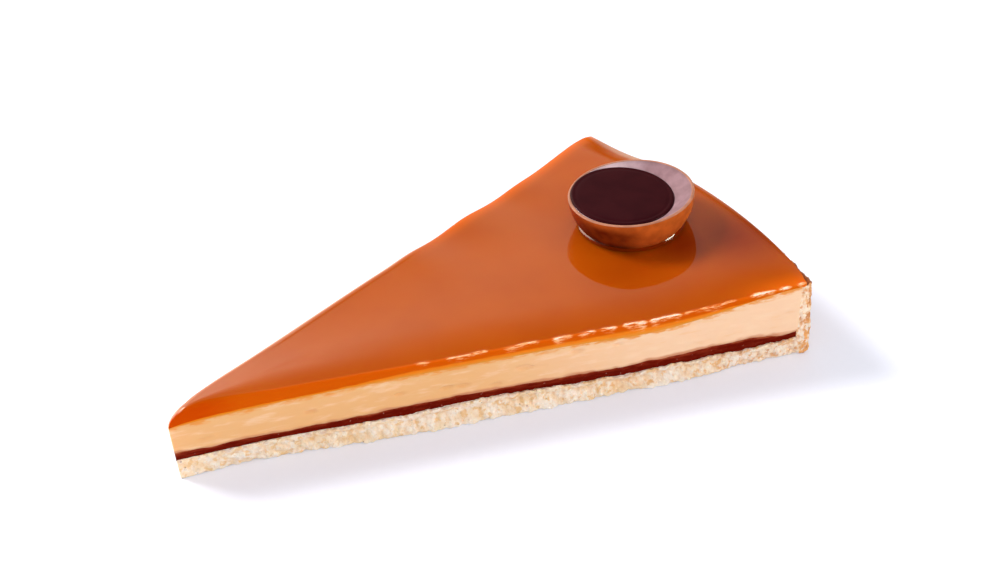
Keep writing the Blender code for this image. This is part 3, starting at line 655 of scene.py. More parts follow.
# Material helpers
class Nodes:
    """A material's node tree with short ways to add and join what it needs."""

    def __init__(self, name):
        self.material = bpy.data.materials.new(name)
        self.material.use_nodes = True
        self.tree = self.material.node_tree
        self.shader = self.tree.nodes["Principled BSDF"]
        self.position = self.tree.nodes.new("ShaderNodeTexCoord").outputs["Object"]

    def put(self, socket, value):
        """Set a socket to a number or colour, or link it to another socket."""
        if isinstance(value, bpy.types.NodeSocket):
            self.tree.links.new(value, socket)
        elif isinstance(value, tuple) and len(value) == 3 and socket.type == "RGBA":
            socket.default_value = (*value, 1.0)
        else:
            socket.default_value = value

    def add(self, kind, inputs, output=0, **settings):
        """Add a node with its inputs, each by its name or number. Gives one of its outputs."""
        node = self.tree.nodes.new(kind)
        for key, value in settings.items():
            setattr(node, key, value)
        for key, value in inputs.items():
            self.put(node.inputs[key], value)
        return node.outputs[output]

    def set(self, **values):
        """Set the shader's sockets by their names, with _ for a space."""
        for key, value in values.items():
            self.put(self.shader.inputs[key.replace("_", " ")], value)

    def value_of(self, key):
        """A number kept on the vertices."""
        return self.add("ShaderNodeAttribute", {}, "Fac", attribute_name=key)

    def axis(self, vector, name):
        """The X, Y or Z of a vector."""
        return self.add("ShaderNodeSeparateXYZ", {0: vector}, name)

    def stretched(self, sizes):
        """Positions turned in line with the front cut and divided by a size on each axis."""
        inputs = {"Vector": self.position, "Rotation": (0.0, 0.0, HALF_ANGLE)}
        turned_to_cut = self.add("ShaderNodeMapping", inputs, vector_type="POINT")
        inputs = {0: turned_to_cut, 1: sizes}
        return self.add("ShaderNodeVectorMath", inputs, operation="DIVIDE")

    def pattern(self, size, detail, roughness, *ramp):
        """Noise from 0 to 1 with swells of a size or of three, and through a ramp if given."""
        inputs = {"Detail": detail, "Roughness": roughness}
        if isinstance(size, tuple):
            inputs.update(Vector=self.stretched(size), Scale=1.0)
        else:
            inputs.update(Vector=self.position, Scale=1.0 / size)
        value = self.add("ShaderNodeTexNoise", inputs, "Fac")
        return self.ramp(value, *ramp) if ramp else value

    def voronoi(self, size):
        """Distance from the nearest of points that lie about a size apart."""
        inputs = {"Vector": self.position, "Scale": 1.0 / size}
        return self.add("ShaderNodeTexVoronoi", inputs, "Distance", feature="F1")

    def ramp(self, value, start, end, low=0.0, high=1.0):
        """value taken smoothly from start..end to low..high."""
        inputs = {"Value": value, "From Min": start, "From Max": end, "To Min": low, "To Max": high}
        return self.add("ShaderNodeMapRange", inputs, "Result", interpolation_type="SMOOTHSTEP")

    def math(self, operation, a, b):
        return self.add("ShaderNodeMath", {0: a, 1: b}, operation=operation)

    def mix(self, share, a, b, blend="MIX"):
        """Colours a and b mixed by a share."""
        inputs = {"Factor": share, 6: a, 7: b}
        return self.add("ShaderNodeMix", inputs, 2, data_type="RGBA", blend_type=blend)

    def bump(self, height, distance, strength=1.0, normal=None):
        inputs = {"Height": height, "Distance": distance, "Strength": strength}
        if normal:
            inputs["Normal"] = normal
        return self.add("ShaderNodeBump", inputs, "Normal")


# Crust
def wall_outside(z):
    """Radius of the wall's outer face, which flares toward its rounded foot."""
    radius = TART_RADIUS + WALL_FLARE * (1.0 - z / WALL_TOP)
    return radius - FOOT_ROUNDING * rounded(min(1.0, z / FOOT_ROUNDING))


def crust_point(u, v, w):
    """u runs out along the base and up the wall, v across the slice, w from outside to inside."""
    side = 2.0 * v - 1.0
    if u <= BASE_SHARE:
        corner = wall_outside(0.0) + (WALL_INSIDE - wall_outside(0.0)) * w
        r = radial(u / BASE_SHARE, corner)
        z = base_top(min(r, WALL_INSIDE)) * w
    else:
        climb = (u - BASE_SHARE) / (1.0 - BASE_SHARE)
        foot = base_top(WALL_INSIDE) * w
        top = WALL_TOP - rim_dip(TART_RADIUS, HALF_ANGLE * side)
        z = foot + (top - foot) * climb
        r = wall_outside(z) + (WALL_INSIDE - wall_outside(z)) * w
    return r, side, z


def crumb_relief(x, y, z, big):
    """Depth of the crumbly surface below its highest crumbs, and how deep it lies as a share."""
    small = crumbs(x, y, z, SMALL_CRUMB_SIZE) ** SMALL_CRUMB_POWER
    grain = 0.5 + 0.5 * unevenness(x, y, z, GRAIN_SIZE)
    depth = big * crumbs(x, y, z, CRUMB_SIZE) + SMALL_CRUMB_DEPTH * small + GRAIN_DEPTH * grain
    return depth, depth / (big + SMALL_CRUMB_DEPTH + GRAIN_DEPTH)


def crust_vertex(u, v, w):
    """One grid point of the crust: its place, depth between crumbs, how toasted and stained."""
    r, side, z = crust_point(u, v, w)
    cut = math.copysign(HALF_ANGLE, side)
    x, y = r * math.cos(cut), r * math.sin(cut)
    foot = falling(w, *FOOT_UP_RANGE)
    depth, crack = crumb_relief(x, y, z, CRUMB_DEPTH + (FOOT_CRUMB_DEPTH - CRUMB_DEPTH) * foot)
    if u < BASE_SHARE:
        depth *= 1.0 - rising(w, *TOP_FLUSH_RANGE)
    spread = FOOT_SPREAD * foot * rising(r, *FOOT_SPREAD_RANGE)
    spread *= falling(r, *FOOT_SPREAD_END_RANGE)
    angle = side * (HALF_ANGLE - (at_tip(r) * depth - spread) / r)
    reach = TOAST_REACH * (1.0 - TOAST_NARROWS * z / WALL_TOP)
    toast = rising(r, TART_RADIUS - reach, TART_RADIUS - TOAST_FULL * reach)
    toast = max(toast, rising(r, *END_TOAST_RANGE))
    stain = 0.0
    if abs(side) < ALMOST:
        crack = 0.0
    elif u < BASE_SHARE:
        stain = rising(w, *BASE_STAIN_RANGE)
        ragged = EDGE_RAGGEDNESS * (EDGE_CRUMB_MIDDLE - crumbs(x, y, 0.0, EDGE_CRUMB_SIZE))
        ragged += EDGE_SWELL * unevenness(x, y, 2.0, EDGE_SWELL_SIZE)
        z += ragged * at_tip(r) * rising(w, *EDGE_RANGE)
        lift = FOOT_LIFT * crumbs(x, y, 0.0, SMALL_CRUMB_SIZE)
        z += lift * falling(w, *FOOT_LIFT_RANGE)
    else:
        stain = rising(w, *WALL_STAIN_RANGE)
    x, y = r * math.cos(angle), r * math.sin(angle)
    if w < TINY and u > BASE_SHARE - TINY:
        depth, crack = crumb_relief(x, y, z, CRUMB_DEPTH)
        r -= depth
    if u > ALMOST:
        depth, crack = crumb_relief(x, y, z, RIM_CRUMB_HEIGHT)
        z -= WALL_TOP_ROUNDING * abs(2.0 * w - 1.0) + depth * (1.0 - w)
        z += falling(w, *RIM_OUTER_RANGE) * falling(side, *RIM_RAISE_RANGE)
        toast = RIM_TOAST
    return place(r, angle, z), (crack, toast, stain)


def make_crust(material):
    bm = unit_block(CRUST_CELLS)
    for vert in bm.verts:
        column = round(vert.co.x * CRUST_COLUMNS)
        if column <= CRUST_BASE_COLUMNS:
            vert.co.x = BASE_SHARE * column / CRUST_BASE_COLUMNS
        else:
            climb = (column - CRUST_BASE_COLUMNS) / CRUST_WALL_COLUMNS
            vert.co.x = BASE_SHARE + (1.0 - BASE_SHARE) * climb
    underside = [
        f for f in bm.faces if all(v.co.z < TINY and v.co.x < BASE_SHARE + TINY for v in f.verts)
    ]
    bmesh.ops.dissolve_faces(bm, faces=underside, use_verts=False)

    def shows(face):
        outside = all(v.co.z < TINY and v.co.x > BASE_SHARE - TINY for v in face.verts)
        return outside or on_cut(face) or all(v.co.x > ALMOST for v in face.verts)

    refine(bm, shows)
    rows = []
    for vert in bm.verts:
        vert.co, row = crust_vertex(*vert.co)
        rows.append(row)
    add_piece("tart_crust", "crust", bm, [material], ("crack", "toast", "stain"), rows)


# Chocolate layer and caramel cream
def make_filling(name, node, material, cells, keys, heights, cut_depth):
    """A layer inside the crust wall, between two heights, with its cuts carved to a depth."""
    bm = unit_block(cells)
    refine(bm, on_cut)
    rows = []
    for vert in bm.verts:
        u, v, w = vert.co
        side = 2.0 * v - 1.0
        angle = HALF_ANGLE * side
        r = radial(u, FILLING_RADIUS)
        low, high = heights(r, angle)
        z = low + (high - low) * w
        if abs(side) > ALMOST:
            angle -= math.copysign(cut_depth(r, side, z) * at_tip(r) / r, side)
        rows.append((w, r / TART_RADIUS))
        vert.co = place(r, angle, z)
    add_piece(name, node, bm, [material], keys, rows)


def chocolate_heights(r, angle):
    return base_top(r) - CHOCOLATE_OVERLAP, chocolate_top(r, angle)


def chocolate_cut_depth(r, side, z):
    """Depth of the soft, slightly sunken cut of the chocolate."""
    relief = unevenness(r / SMEAR_STRETCH, side, z, CHOCOLATE_FINE_RIPPLE_SIZE / 2.0)
    relief += CHOCOLATE_GRAIN_SHARE * unevenness(r, side, z, GRAIN_SIZE)
    return CHOCOLATE_RECESS + CHOCOLATE_RELIEF * relief


def cream_heights(r, angle):
    return chocolate_top(r, angle), cream_top(r) - rim_dip(r, angle)


def cream_cut_depth(r, side, z):
    """Depth of the smears and pits that the knife left in the cut cream."""
    along, up = r / CREAM_SMEAR_LENGTH, z / CREAM_SMEAR_HEIGHT
    smear = unevenness(along, side * SMEAR_PICK, up, 1.0)
    finer = (along * FINE_SMEARS_ALONG, side * FINE_SMEAR_PICK, up * FINE_SMEARS_UP)
    fine = unevenness(*finer, 1.0)
    cell = noise.voronoi(Vector((r / PIT_SPACING, side * PIT_PICK, z / PIT_HEIGHT)))[0][0]
    pit = falling(cell, *PIT_RANGE)
    return CREAM_RELIEF * (0.5 + 0.5 * smear + FINE_SMEAR_SHARE * fine) + CREAM_PIT_DEPTH * pit


# Caramel glaze
def near_tip(r):
    """1 where the glaze has run down over the cut near the tip, 0 further out."""
    return falling(r, *SHOULDER_CHANGE_RANGE)


def shoulder(r, side):
    """Width of the rounded edge at a cut: broad near the tip in front, narrow elsewhere."""
    width = SHOULDER_OUTER
    if side < 0.0:
        width += (SHOULDER_TIP - SHOULDER_OUTER) * near_tip(r)
        point = falling(r, *SHOULDER_POINT_RANGE)
        width += (SHOULDER_POINT - SHOULDER_TIP) * point
    else:
        width += falling(r, 0.0, BACK_TIP_REACH, SHOULDER_BACK_TIP - SHOULDER_OUTER)
    return min(width, SHOULDER_MOST * r)


def glaze_row(line, r):
    """Distance from the nearer cut and side of a lengthwise grid line, counted from the front."""
    side = -1.0 if line <= GLAZE_LINES // 2 else 1.0
    lines_in = min(line, GLAZE_LINES - line)
    width = shoulder(r, side)
    if lines_in <= SHOULDER_LINES:
        return width * (lines_in / SHOULDER_LINES) ** SHOULDER_CROWDING, side
    inner = width + min(EDGE_WIDTH, 0.5 * (r * HALF_ANGLE - width))
    if lines_in <= SHOULDER_LINES + EDGE_LINES:
        return width + (inner - width) * (lines_in - SHOULDER_LINES) / EDGE_LINES, side
    share = (lines_in - SHOULDER_LINES - EDGE_LINES) / INNER_LINES
    return inner + (r * HALF_ANGLE - inner) * share ** INNER_CROWDING, side


def torn(r, from_cut):
    """How torn the front edge of the glaze is: 0 where smooth, 1 on the middle of a tear."""
    most = 0.0
    for start, end, amount in TORN_PIECES:
        inside = min(r - start * MM, end * MM - r)
        most = max(most, amount * rising(inside, *LIP_PIECE_RANGE))
    most *= LIP_PIECE_EVEN + LIP_PIECE_UNEVEN * unevenness(r, 0.0, 3.0, LIP_PIECE_LENGTH)
    middle = LIP_FROM_CUT + LIP_WANDER * unevenness(r, 0.0, 9.0, LIP_PIECE_LENGTH)
    width = LIP_WIDTH * (LIP_LEAST_WIDTH + (1.0 - LIP_LEAST_WIDTH) * most)
    return bell(from_cut, middle, width, most)


def lip(r, from_cut):
    """Height of the crinkled bead that the knife raised where it tore the front edge."""
    across = LIP_CRINKLES_ACROSS * from_cut
    crinkle = LIP_EVEN + LIP_CRINKLE * unevenness(r, across, 5.0, LIP_CRINKLE_LENGTH)
    crinkle += LIP_FINE_CRINKLE * unevenness(r, across, 8.0, LIP_CRINKLE_LENGTH / 2.0)
    return LIP_HEIGHT * torn(r, from_cut) * crinkle


def back_line(r, from_cut):
    """Height of the fine line that runs beside the back edge of the glaze."""
    here = rising(r, *BACK_LINE_RANGE) * falling(r, *BACK_LINE_END_RANGE)
    return BACK_LINE_HEIGHT * here * bell(from_cut, BACK_LINE_FROM_CUT, BACK_LINE_WIDTH)


def glaze_height(r, from_cut, side):
    """Top of the glaze at a distance from a cut: rounded, drooping in front, swollen behind."""
    width = shoulder(r, side)
    z = glaze_top(r)
    body = rising(r, *CUT_SHAPE_RANGE)
    if side < 0.0:
        near = max(0.0, 1.0 - from_cut / min(TIP_SLOPE_WIDTH, r * HALF_ANGLE))
        z -= TIP_SLOPE * near ** 2 * falling(r, *TIP_SLOPE_RANGE)
        near = max(0.0, 1.0 - from_cut / FRONT_DROOP_WIDTH)
        fade = falling(r, *FRONT_DROOP_END_RANGE)
        z -= (FRONT_DROOP * body + bell(r, *FRONT_DROOP_BELL)) * near ** 2 * fade
    else:
        near = max(0.0, 1.0 - from_cut / min(BACK_SWELL_WIDTH, r * HALF_ANGLE))
        wave = math.cos(math.tau * (r - BACK_WAVE_PEAK) / BACK_WAVE_LENGTH)
        swell = BACK_SWELL + BACK_WAVE * wave * rising(r, *BACK_WAVE_RANGE)
        z += body * near ** 2 * swell * falling(r, *BACK_SWELL_END_RANGE)
    if from_cut < width:
        most = SHOULDER_FALL * (z - glaze_bottom(r))
        fall = min(width, most)
        if side < 0.0:
            fall += (most - fall) * near_tip(r)
        z -= fall * rounded(from_cut / width)
    return z + (lip(r, from_cut) if side < 0.0 else back_line(r, from_cut))


def glaze_surface(x, y):
    """Height of the glaze's top at a point, away from its edges."""
    r = math.hypot(x - CENTRE_X, y)
    angle = math.atan2(y, x - CENTRE_X)
    from_cut = r * (HALF_ANGLE - abs(angle))
    return glaze_height(r, from_cut, math.copysign(1.0, angle)) - rim_dip(r, angle)


def glaze_end(share):
    """Distance from the centre of the glaze's outer end, for a share of the way across."""
    end = GLAZE_RADIUS_FRONT + rising(share, *GLAZE_END_RANGE)
    return end - falling(share, *GLAZE_CORNER_RANGE)


def waterline(around):
    """The point at which the cup's outside meets the glaze, for an angle round the cup."""
    direction = CUP_TURN @ Vector((math.cos(around), math.sin(around), 0.0))
    low, high = 0.0, CUP_HEIGHT
    for _ in range(HALVINGS):
        depth = (low + high) / 2
        point = CUP_CENTRE - cup_axis() * depth + direction * cup_outside(depth)
        if point.z > glaze_surface(point.x, point.y):
            low = depth
        else:
            high = depth
    return point


def add_meniscus(bm):
    """A ring of glaze round the foot of the cup, drawn up against its side."""
    feet = [waterline(math.tau * i / CUP_SEGMENTS) for i in range(CUP_SEGMENTS)]
    rings = []
    for k in range(-1, MENISCUS_LINES + 2):
        share = min(max(k / MENISCUS_LINES, 0.0), 1.0)
        reach = -MENISCUS_INSIDE + (MENISCUS_INSIDE + MENISCUS_WIDTH) * share
        away = max(0.0, reach) / MENISCUS_WIDTH
        ring = []
        for foot in feet:
            out = Vector((foot.x - CUP_CENTRE.x, foot.y - CUP_CENTRE.y, 0.0)).normalized()
            point = foot + out * reach
            level = glaze_surface(point.x, point.y) - MENISCUS_SINK
            point.z = level + MENISCUS_HEIGHT * (1.0 - away) ** MENISCUS_POWER
            if k < 0 or k > MENISCUS_LINES:
                point.z = level - MENISCUS_DEPTH
            ring.append(bm.verts.new(point))
        rings.append(ring)
    for inner, outer in zip(rings, rings[1:] + rings[:1]):
        for i in range(CUP_SEGMENTS):
            j = (i + 1) % CUP_SEGMENTS
            bm.faces.new((inner[i], outer[i], outer[j], inner[j]))


def painted_edge_glow(r, v, from_cut, side):
    """Strength of the golden painted glow where light comes through the thin edge of the glaze."""
    if side > 0.0:
        along = rising(r, *EDGE_GLOW_RANGE)
        return along * falling(from_cut, 0.0, EDGE_GLOW_BACK)
    along = rising(r, *EDGE_GLOW_CORNER_RANGE)
    beside = along * falling(from_cut, 0.0, EDGE_GLOW_CORNER)
    rim = falling(glaze_end(v) - r, 0.0, RIM_GLOW)
    return max(beside, rim * falling(v, *RIM_GLOW_RANGE))


def painted_cup_shadow(point):
    """How much painted shadow of the cup darkens the glaze: 1 right beside its foot."""
    foot = CUP_CENTRE - cup_axis() * CUP_HEIGHT
    beside = max(0.0, math.hypot(point.x - foot.x, point.y - foot.y) - CUP_FOOT_RADIUS)
    painted_shade = bell(beside, 0.0, FOOT_PAINTED_SHADOW_REACH)
    for x, y, spread, strength in GLAZE_PAINTED_SHADOW_SPOTS:
        away = math.hypot(point.x - x, point.y - y)
        painted_shade = max(painted_shade, bell(away, 0.0, spread, strength))
    return painted_shade


def front_looks(r, from_cut, w):
    """How far in from the rounded edge, how torn and how much painted sheen the front half of the
    glaze has.
    """
    glow = EDGE_GLOW_FRONT + (EDGE_GLOW_TIP - EDGE_GLOW_FRONT) * near_tip(r)
    return rising(from_cut, 0.0, shoulder(r, -1.0) + glow), torn(r, from_cut) * w, 0.0


def back_looks(r, from_cut):
    """The same for the back half, which has a painted pale sheen along its edge toward the tip."""
    pale = falling(from_cut, *PAINTED_SHEEN_RANGE)
    return 1.0, 0.0, pale * falling(r, *PAINTED_SHEEN_END_RANGE)


def make_caramel_glaze(material):
    bm = unit_block(GLAZE_CELLS)
    rows = []
    for vert in bm.verts:
        u, v, w = vert.co
        line = round(v * GLAZE_LINES)
        r = radial(u, glaze_end(v))
        from_cut, side = glaze_row(line, r)
        angle = side * (HALF_ANGLE - from_cut / r)
        low, high = glaze_bottom(r), glaze_height(r, from_cut, side)
        z = low + (high - low) * w
        if line in (0, GLAZE_LINES) and 0.0 < w < 1.0:
            wobble = CUT_RELIEF * unevenness(r / SMEAR_STRETCH, side, z, GRAIN_SIZE)
            angle += side * at_tip(r) * wobble / r
        vert.co = place(r, angle, z - rim_dip(r, angle))
        looks = front_looks(r, from_cut, w) if side < 0.0 else back_looks(r, from_cut)
        rows.append((w, *looks, painted_edge_glow(r, v, from_cut, side), painted_cup_shadow(vert.co)))
    add_meniscus(bm)
    # The glaze drawn up the cup's foot lies fully in the painted shadow
    rows += [(1.0, 1.0, 0.0, 0.0, 0.0, 1.0)] * (len(bm.verts) - len(rows))
    keys = ("up", "inward", "torn", "pale", "painted_glow", "painted_shade")
    add_piece("tart_caramel_glaze", "caramel_glaze", bm, [material], keys, rows, sharp=75.0)


# Chocolate cup
def cup_outside(depth):
    """Radius of the cup's outer side at a depth below its rim plane."""
    share = min(max(depth, 0.0) / CUP_CURVE_DEPTH, 1.0)
    return CUP_RADIUS * (1.0 - share ** CUP_CURVE_POWER) ** (1.0 / CUP_CURVE_POWER)


def cup_inside(depth):
    """Radius of the bowl inside the cup, a part of a ball, at a depth below its rim plane."""
    up = min(max(CUP_BOWL_DEPTH - depth, 0.0), CUP_BOWL_DEPTH)
    return math.sqrt(up * (2.0 * BOWL_BALL_RADIUS - up))


def cup_axis():
    """The cup's own up direction: its rim is highest toward CUP_TILT_AZIMUTH."""
    lean = math.sin(CUP_TILT)
    return Vector(
        (-lean * math.cos(CUP_TILT_AZIMUTH), -lean * math.sin(CUP_TILT_AZIMUTH), math.cos(CUP_TILT))
    )


CUP_TURN = cup_axis().to_track_quat("Z", "Y")


def cup_profile():
    """Radius, height and which finish, from the middle of the bowl over the rim to the foot."""
    points = []
    for i in range(CUP_BOWL_POINTS + 1):
        depth = CUP_BOWL_DEPTH * (1.0 - (i / CUP_BOWL_POINTS) ** 2)
        points.append((cup_inside(depth), -depth - CUP_RIM_STEP, 0))
    for i in range(1, CUP_RIM_POINTS + 1):
        turn = math.pi * i / CUP_RIM_POINTS
        across = 0.5 * (1.0 - math.cos(turn))
        rise = CUP_RIM_STEP * math.sin(0.5 * turn) ** CUP_RIM_STEP_POWER
        rise -= CUP_RIM_BEVEL * across ** CUP_RIM_BEVEL_POWER
        points.append((CUP_BOWL_RADIUS + CUP_RIM_WIDTH * across, rise - CUP_RIM_STEP, 1))
    side_height = CUP_HEIGHT - CUP_FOOT_BEVEL - CUP_SIDE_START
    for i in range(CUP_SIDE_POINTS):
        depth = CUP_SIDE_START + side_height * i / (CUP_SIDE_POINTS - 1)
        points.append((cup_outside(depth), -depth, 2))
    return points + [(CUP_FOOT_RADIUS, -CUP_HEIGHT, 2), (0.0, -CUP_HEIGHT, 2)]


def turned(profile, moved):
    """A closed mesh from a profile turned about Z; moved(angle, r, z) gives each point."""
    bm = bmesh.new()
    rings = []
    for r, z, kind in profile:
        count = 1 if r == 0.0 else CUP_SEGMENTS
        ring = [bm.verts.new(moved(math.tau * i / CUP_SEGMENTS, r, z)) for i in range(count)]
        rings.append((ring, kind))
    for (inside, _), (outside, kind) in zip(rings, rings[1:]):
        for i in range(CUP_SEGMENTS):
            j = (i + 1) % CUP_SEGMENTS
            corners = [inside[i % len(inside)], outside[i % len(outside)]]
            corners += [outside[j % len(outside)], inside[j % len(inside)]]
            corners = [c for n, c in enumerate(corners) if c not in corners[:n]]
            bm.faces.new(corners).material_index = kind
    return bm


def cup_point(angle, r, z):
    """A point of the cup, with a slightly uneven rim and side."""
    east, north = math.cos(angle), math.sin(angle)
    uneven = unevenness(east * CUP_SWELLS, north * CUP_SWELLS, z / CUP_SWELL_HEIGHT, 1.0)
    share = min(1.0, r / CUP_RADIUS)
    r += CUP_UNEVENNESS * uneven * share
    uneven = unevenness(east * CUP_RIM_SWELLS, north * CUP_RIM_SWELLS, 7.0, 1.0)
    z += CUP_RIM_UNEVENNESS * CUP_UNEVENNESS * uneven * share ** CUP_RIM_SWELL_POWER
    return CUP_CENTRE + CUP_TURN @ Vector((r * east, r * north, z))


def degrees_past(azimuth, start):
    """How far an azimuth lies past another one, from -180 to 180 degrees."""
    return (azimuth - start + 180.0) % 360.0 - 180.0


def make_chocolate_cup(materials):
    bm = turned(cup_profile(), cup_point)
    rows = []
    for vert in bm.verts:
        out = vert.co - CUP_CENTRE
        azimuth = math.degrees(math.atan2(out.y, out.x))
        # Painted shade low on the outside, a darker painted left side, and painted light inside
        past = degrees_past(azimuth, CUP_PAINTED_SHADE_AZIMUTH)
        painted_shade = rising(-out.z, *CUP_PAINTED_SHADE_LOW_RANGE)
        painted_shade *= falling(abs(past), *CUP_PAINTED_SHADE_RANGE)
        lit = falling(abs(degrees_past(azimuth, CUP_PAINTED_LIGHT_AZIMUTH)), *CUP_PAINTED_LIGHT_RANGE)
        left = rising(-past, *CUP_PAINTED_LEFT_SHADE_RANGE)
        rows.append((painted_shade, lit, left * falling(-past, *CUP_PAINTED_LEFT_SHADE_END_RANGE)))
    add_piece("cup_shell", "chocolate_cup", bm, materials, ("painted_shade", "lit", "left"), rows)


# What fills the cup
def fill_height(inward):
    """Height of the filling's top over its edge, a distance in from the bowl: a rolled lip."""
    rise = 1.0 - rounded(min(1.0, inward / FILL_ROLL))
    return FILL_EDGE * rise - bell(inward, *FILL_GROOVE_BELL)


def make_cup_filling(material):
    """A smooth disc with a rolled edge that meets the bowl of the cup all round."""
    up = Vector((-FILL_SLOPE[0], -FILL_SLOPE[1], 1.0)).normalized()
    turn = up.to_track_quat("Z", "Y")
    ball = CUP_CENTRE + cup_axis() * (BOWL_BALL_RADIUS - CUP_BOWL_DEPTH - CUP_RIM_STEP)
    fall = (ball.z - FILL_LEVEL) / up.z + FILL_EDGE
    radius = math.sqrt(BOWL_BALL_RADIUS ** 2 - fall ** 2)
    centre = ball - up * fall
    lines = [n * FILL_ROLL for n in FILL_ROLL_LINES] + [n * MM for n in FILL_INNER_LINES]
    profile = [(radius - n, fill_height(n), 0) for n in reversed(lines + [radius])]
    deep = BOWL_BALL_RADIUS + FILL_INTO_BOWL
    widest = math.asin(radius / BOWL_BALL_RADIUS)
    for i in range(FILL_BOTTOM_LINES, -1, -1):
        polar = widest * i / FILL_BOTTOM_LINES
        profile.append((deep * math.sin(polar), fall - deep * math.cos(polar), 0))

    def moved(angle, r, z):
        return centre + turn @ Vector((r * math.cos(angle), r * math.sin(angle), z))

    add_piece("cup_ganache", "cup_filling", turned(profile, moved), [material], sharp=60.0)


# Materials
def crust_material():
    n = Nodes("crust")
    toast = n.value_of("toast")
    crack = n.value_of("crack")
    color = n.mix(n.pattern(*CRUST_PATCHES), PASTRY_PALE, PASTRY_WARM)
    color = n.mix(n.pattern(*CRUST_WHITE_SPOTS), color, PASTRY_WHITE)
    gold = n.mix(n.ramp(n.axis(n.position, "X"), *GOLD_ALONG), PASTRY_STRAW, PASTRY_GOLD)
    color = n.mix(n.pattern(*CRUST_GOLD_SPOTS), color, gold)
    color = n.mix(n.pattern(*CRUST_FISSURES), color, PASTRY_DEEP)
    # Painted shade: the cracks between crumbs darker gold
    color = n.mix(n.ramp(crack, *CRACK_PAINTED_SHADE), color, gold)
    color = n.mix(n.ramp(n.voronoi(SPECK_SPACING), *SPECK_SHARE), color, PASTRY_SPECK)
    stained = n.math("MULTIPLY", n.value_of("stain"), n.pattern(*CRUST_STAINS))
    color = n.mix(n.ramp(stained, *STAIN_SHARE), color, CHOCOLATE_HALO)
    baked = n.mix(n.pattern(*BAKED_PATCHES), TOASTED, TOASTED_DARK)
    baked = n.mix(n.pattern(*BAKED_PALE_SPOTS), baked, TOASTED_PALE)
    # Painted shade: the cracks between crumbs darker on the toasted crust
    baked = n.mix(n.ramp(crack, *BAKED_CRACK_PAINTED_SHADE), baked, TOASTED_DARK)
    uneven = n.math("ADD", toast, n.pattern(*BAKED_EDGE))
    color = n.mix(n.ramp(uneven, *TOAST_SHARE), color, baked)
    color = n.mix(n.ramp(toast, *RIM_SHARE), color, TOASTED_RIM)
    n.set(Base_Color=color, Roughness=0.75, Specular_IOR_Level=0.35)
    n.set(Subsurface_Weight=0.2, Subsurface_Radius=(1.0, 0.6, 0.35), Subsurface_Scale=1.0 * MM)
    rough = n.bump(n.voronoi(PIMPLE_SPACING), distance=0.3 * MM, strength=0.9)
    n.set(Normal=n.bump(n.pattern(*CRUST_GRAINS), distance=0.28 * MM, normal=rough))
    return n.material


def chocolate_layer_material():
    n = Nodes("chocolate_layer")
    streaks = n.pattern(*CHOCOLATE_STREAKS)
    color = n.mix(n.ramp(streaks, *STREAK_SHARE), CHOCOLATE_DEEP, CHOCOLATE_SMEARED)
    high = n.math("ADD", n.value_of("up"), n.ramp(streaks, *STREAK_RISE))
    color = n.mix(n.ramp(high, *CHOCOLATE_EDGE_SHARE), color, CHOCOLATE_EDGE)
    color = n.mix(n.ramp(high, *CHOCOLATE_TOP_SHARE), color, CHOCOLATE_TOP)
    color = n.mix(n.pattern(*CHOCOLATE_SPOTS), color, CHOCOLATE_LIGHT)
    n.set(Base_Color=color, Roughness=0.5, Specular_IOR_Level=0.015)
    n.set(Normal=n.bump(n.pattern(*CHOCOLATE_BUMPS), distance=0.08 * MM))
    return n.material


def cream_material():
    n = Nodes("caramel_cream")
    up = n.value_of("up")
    out = n.value_of("out")
    color = n.mix(n.ramp(out, *CREAM_ALONG), CREAM_TIP_COLOR, CREAM_OUTER_COLOR)
    smears = n.pattern(*CREAM_SMEARS)
    color = n.mix(n.ramp(smears, *CREAM_PALE_SHARE), color, CREAM_PALE)
    color = n.mix(n.ramp(smears, *CREAM_DEEP_SHARE), color, CREAM_DEEP)
    halo = n.math("ADD", up, n.pattern(*CREAM_FOOT_EDGE))
    color = n.mix(n.ramp(halo, *CREAM_HALO_SHARE), color, CREAM_HALO)
    bleed = n.math("ADD", n.math("ADD", up, n.ramp(out, *BLEED_ALONG)), n.pattern(*CREAM_TOP_EDGE))
    color = n.mix(n.ramp(bleed, *CREAM_BLEED_SHARE), color, GLAZE_BLEED)
    n.set(Base_Color=color, Roughness=0.5, Specular_IOR_Level=0.3)
    n.set(Subsurface_Weight=0.25, Subsurface_Radius=(1.0, 0.6, 0.3), Subsurface_Scale=1.5 * MM)
    n.set(Normal=n.bump(smears, distance=0.15 * MM, strength=0.6))
    return n.material


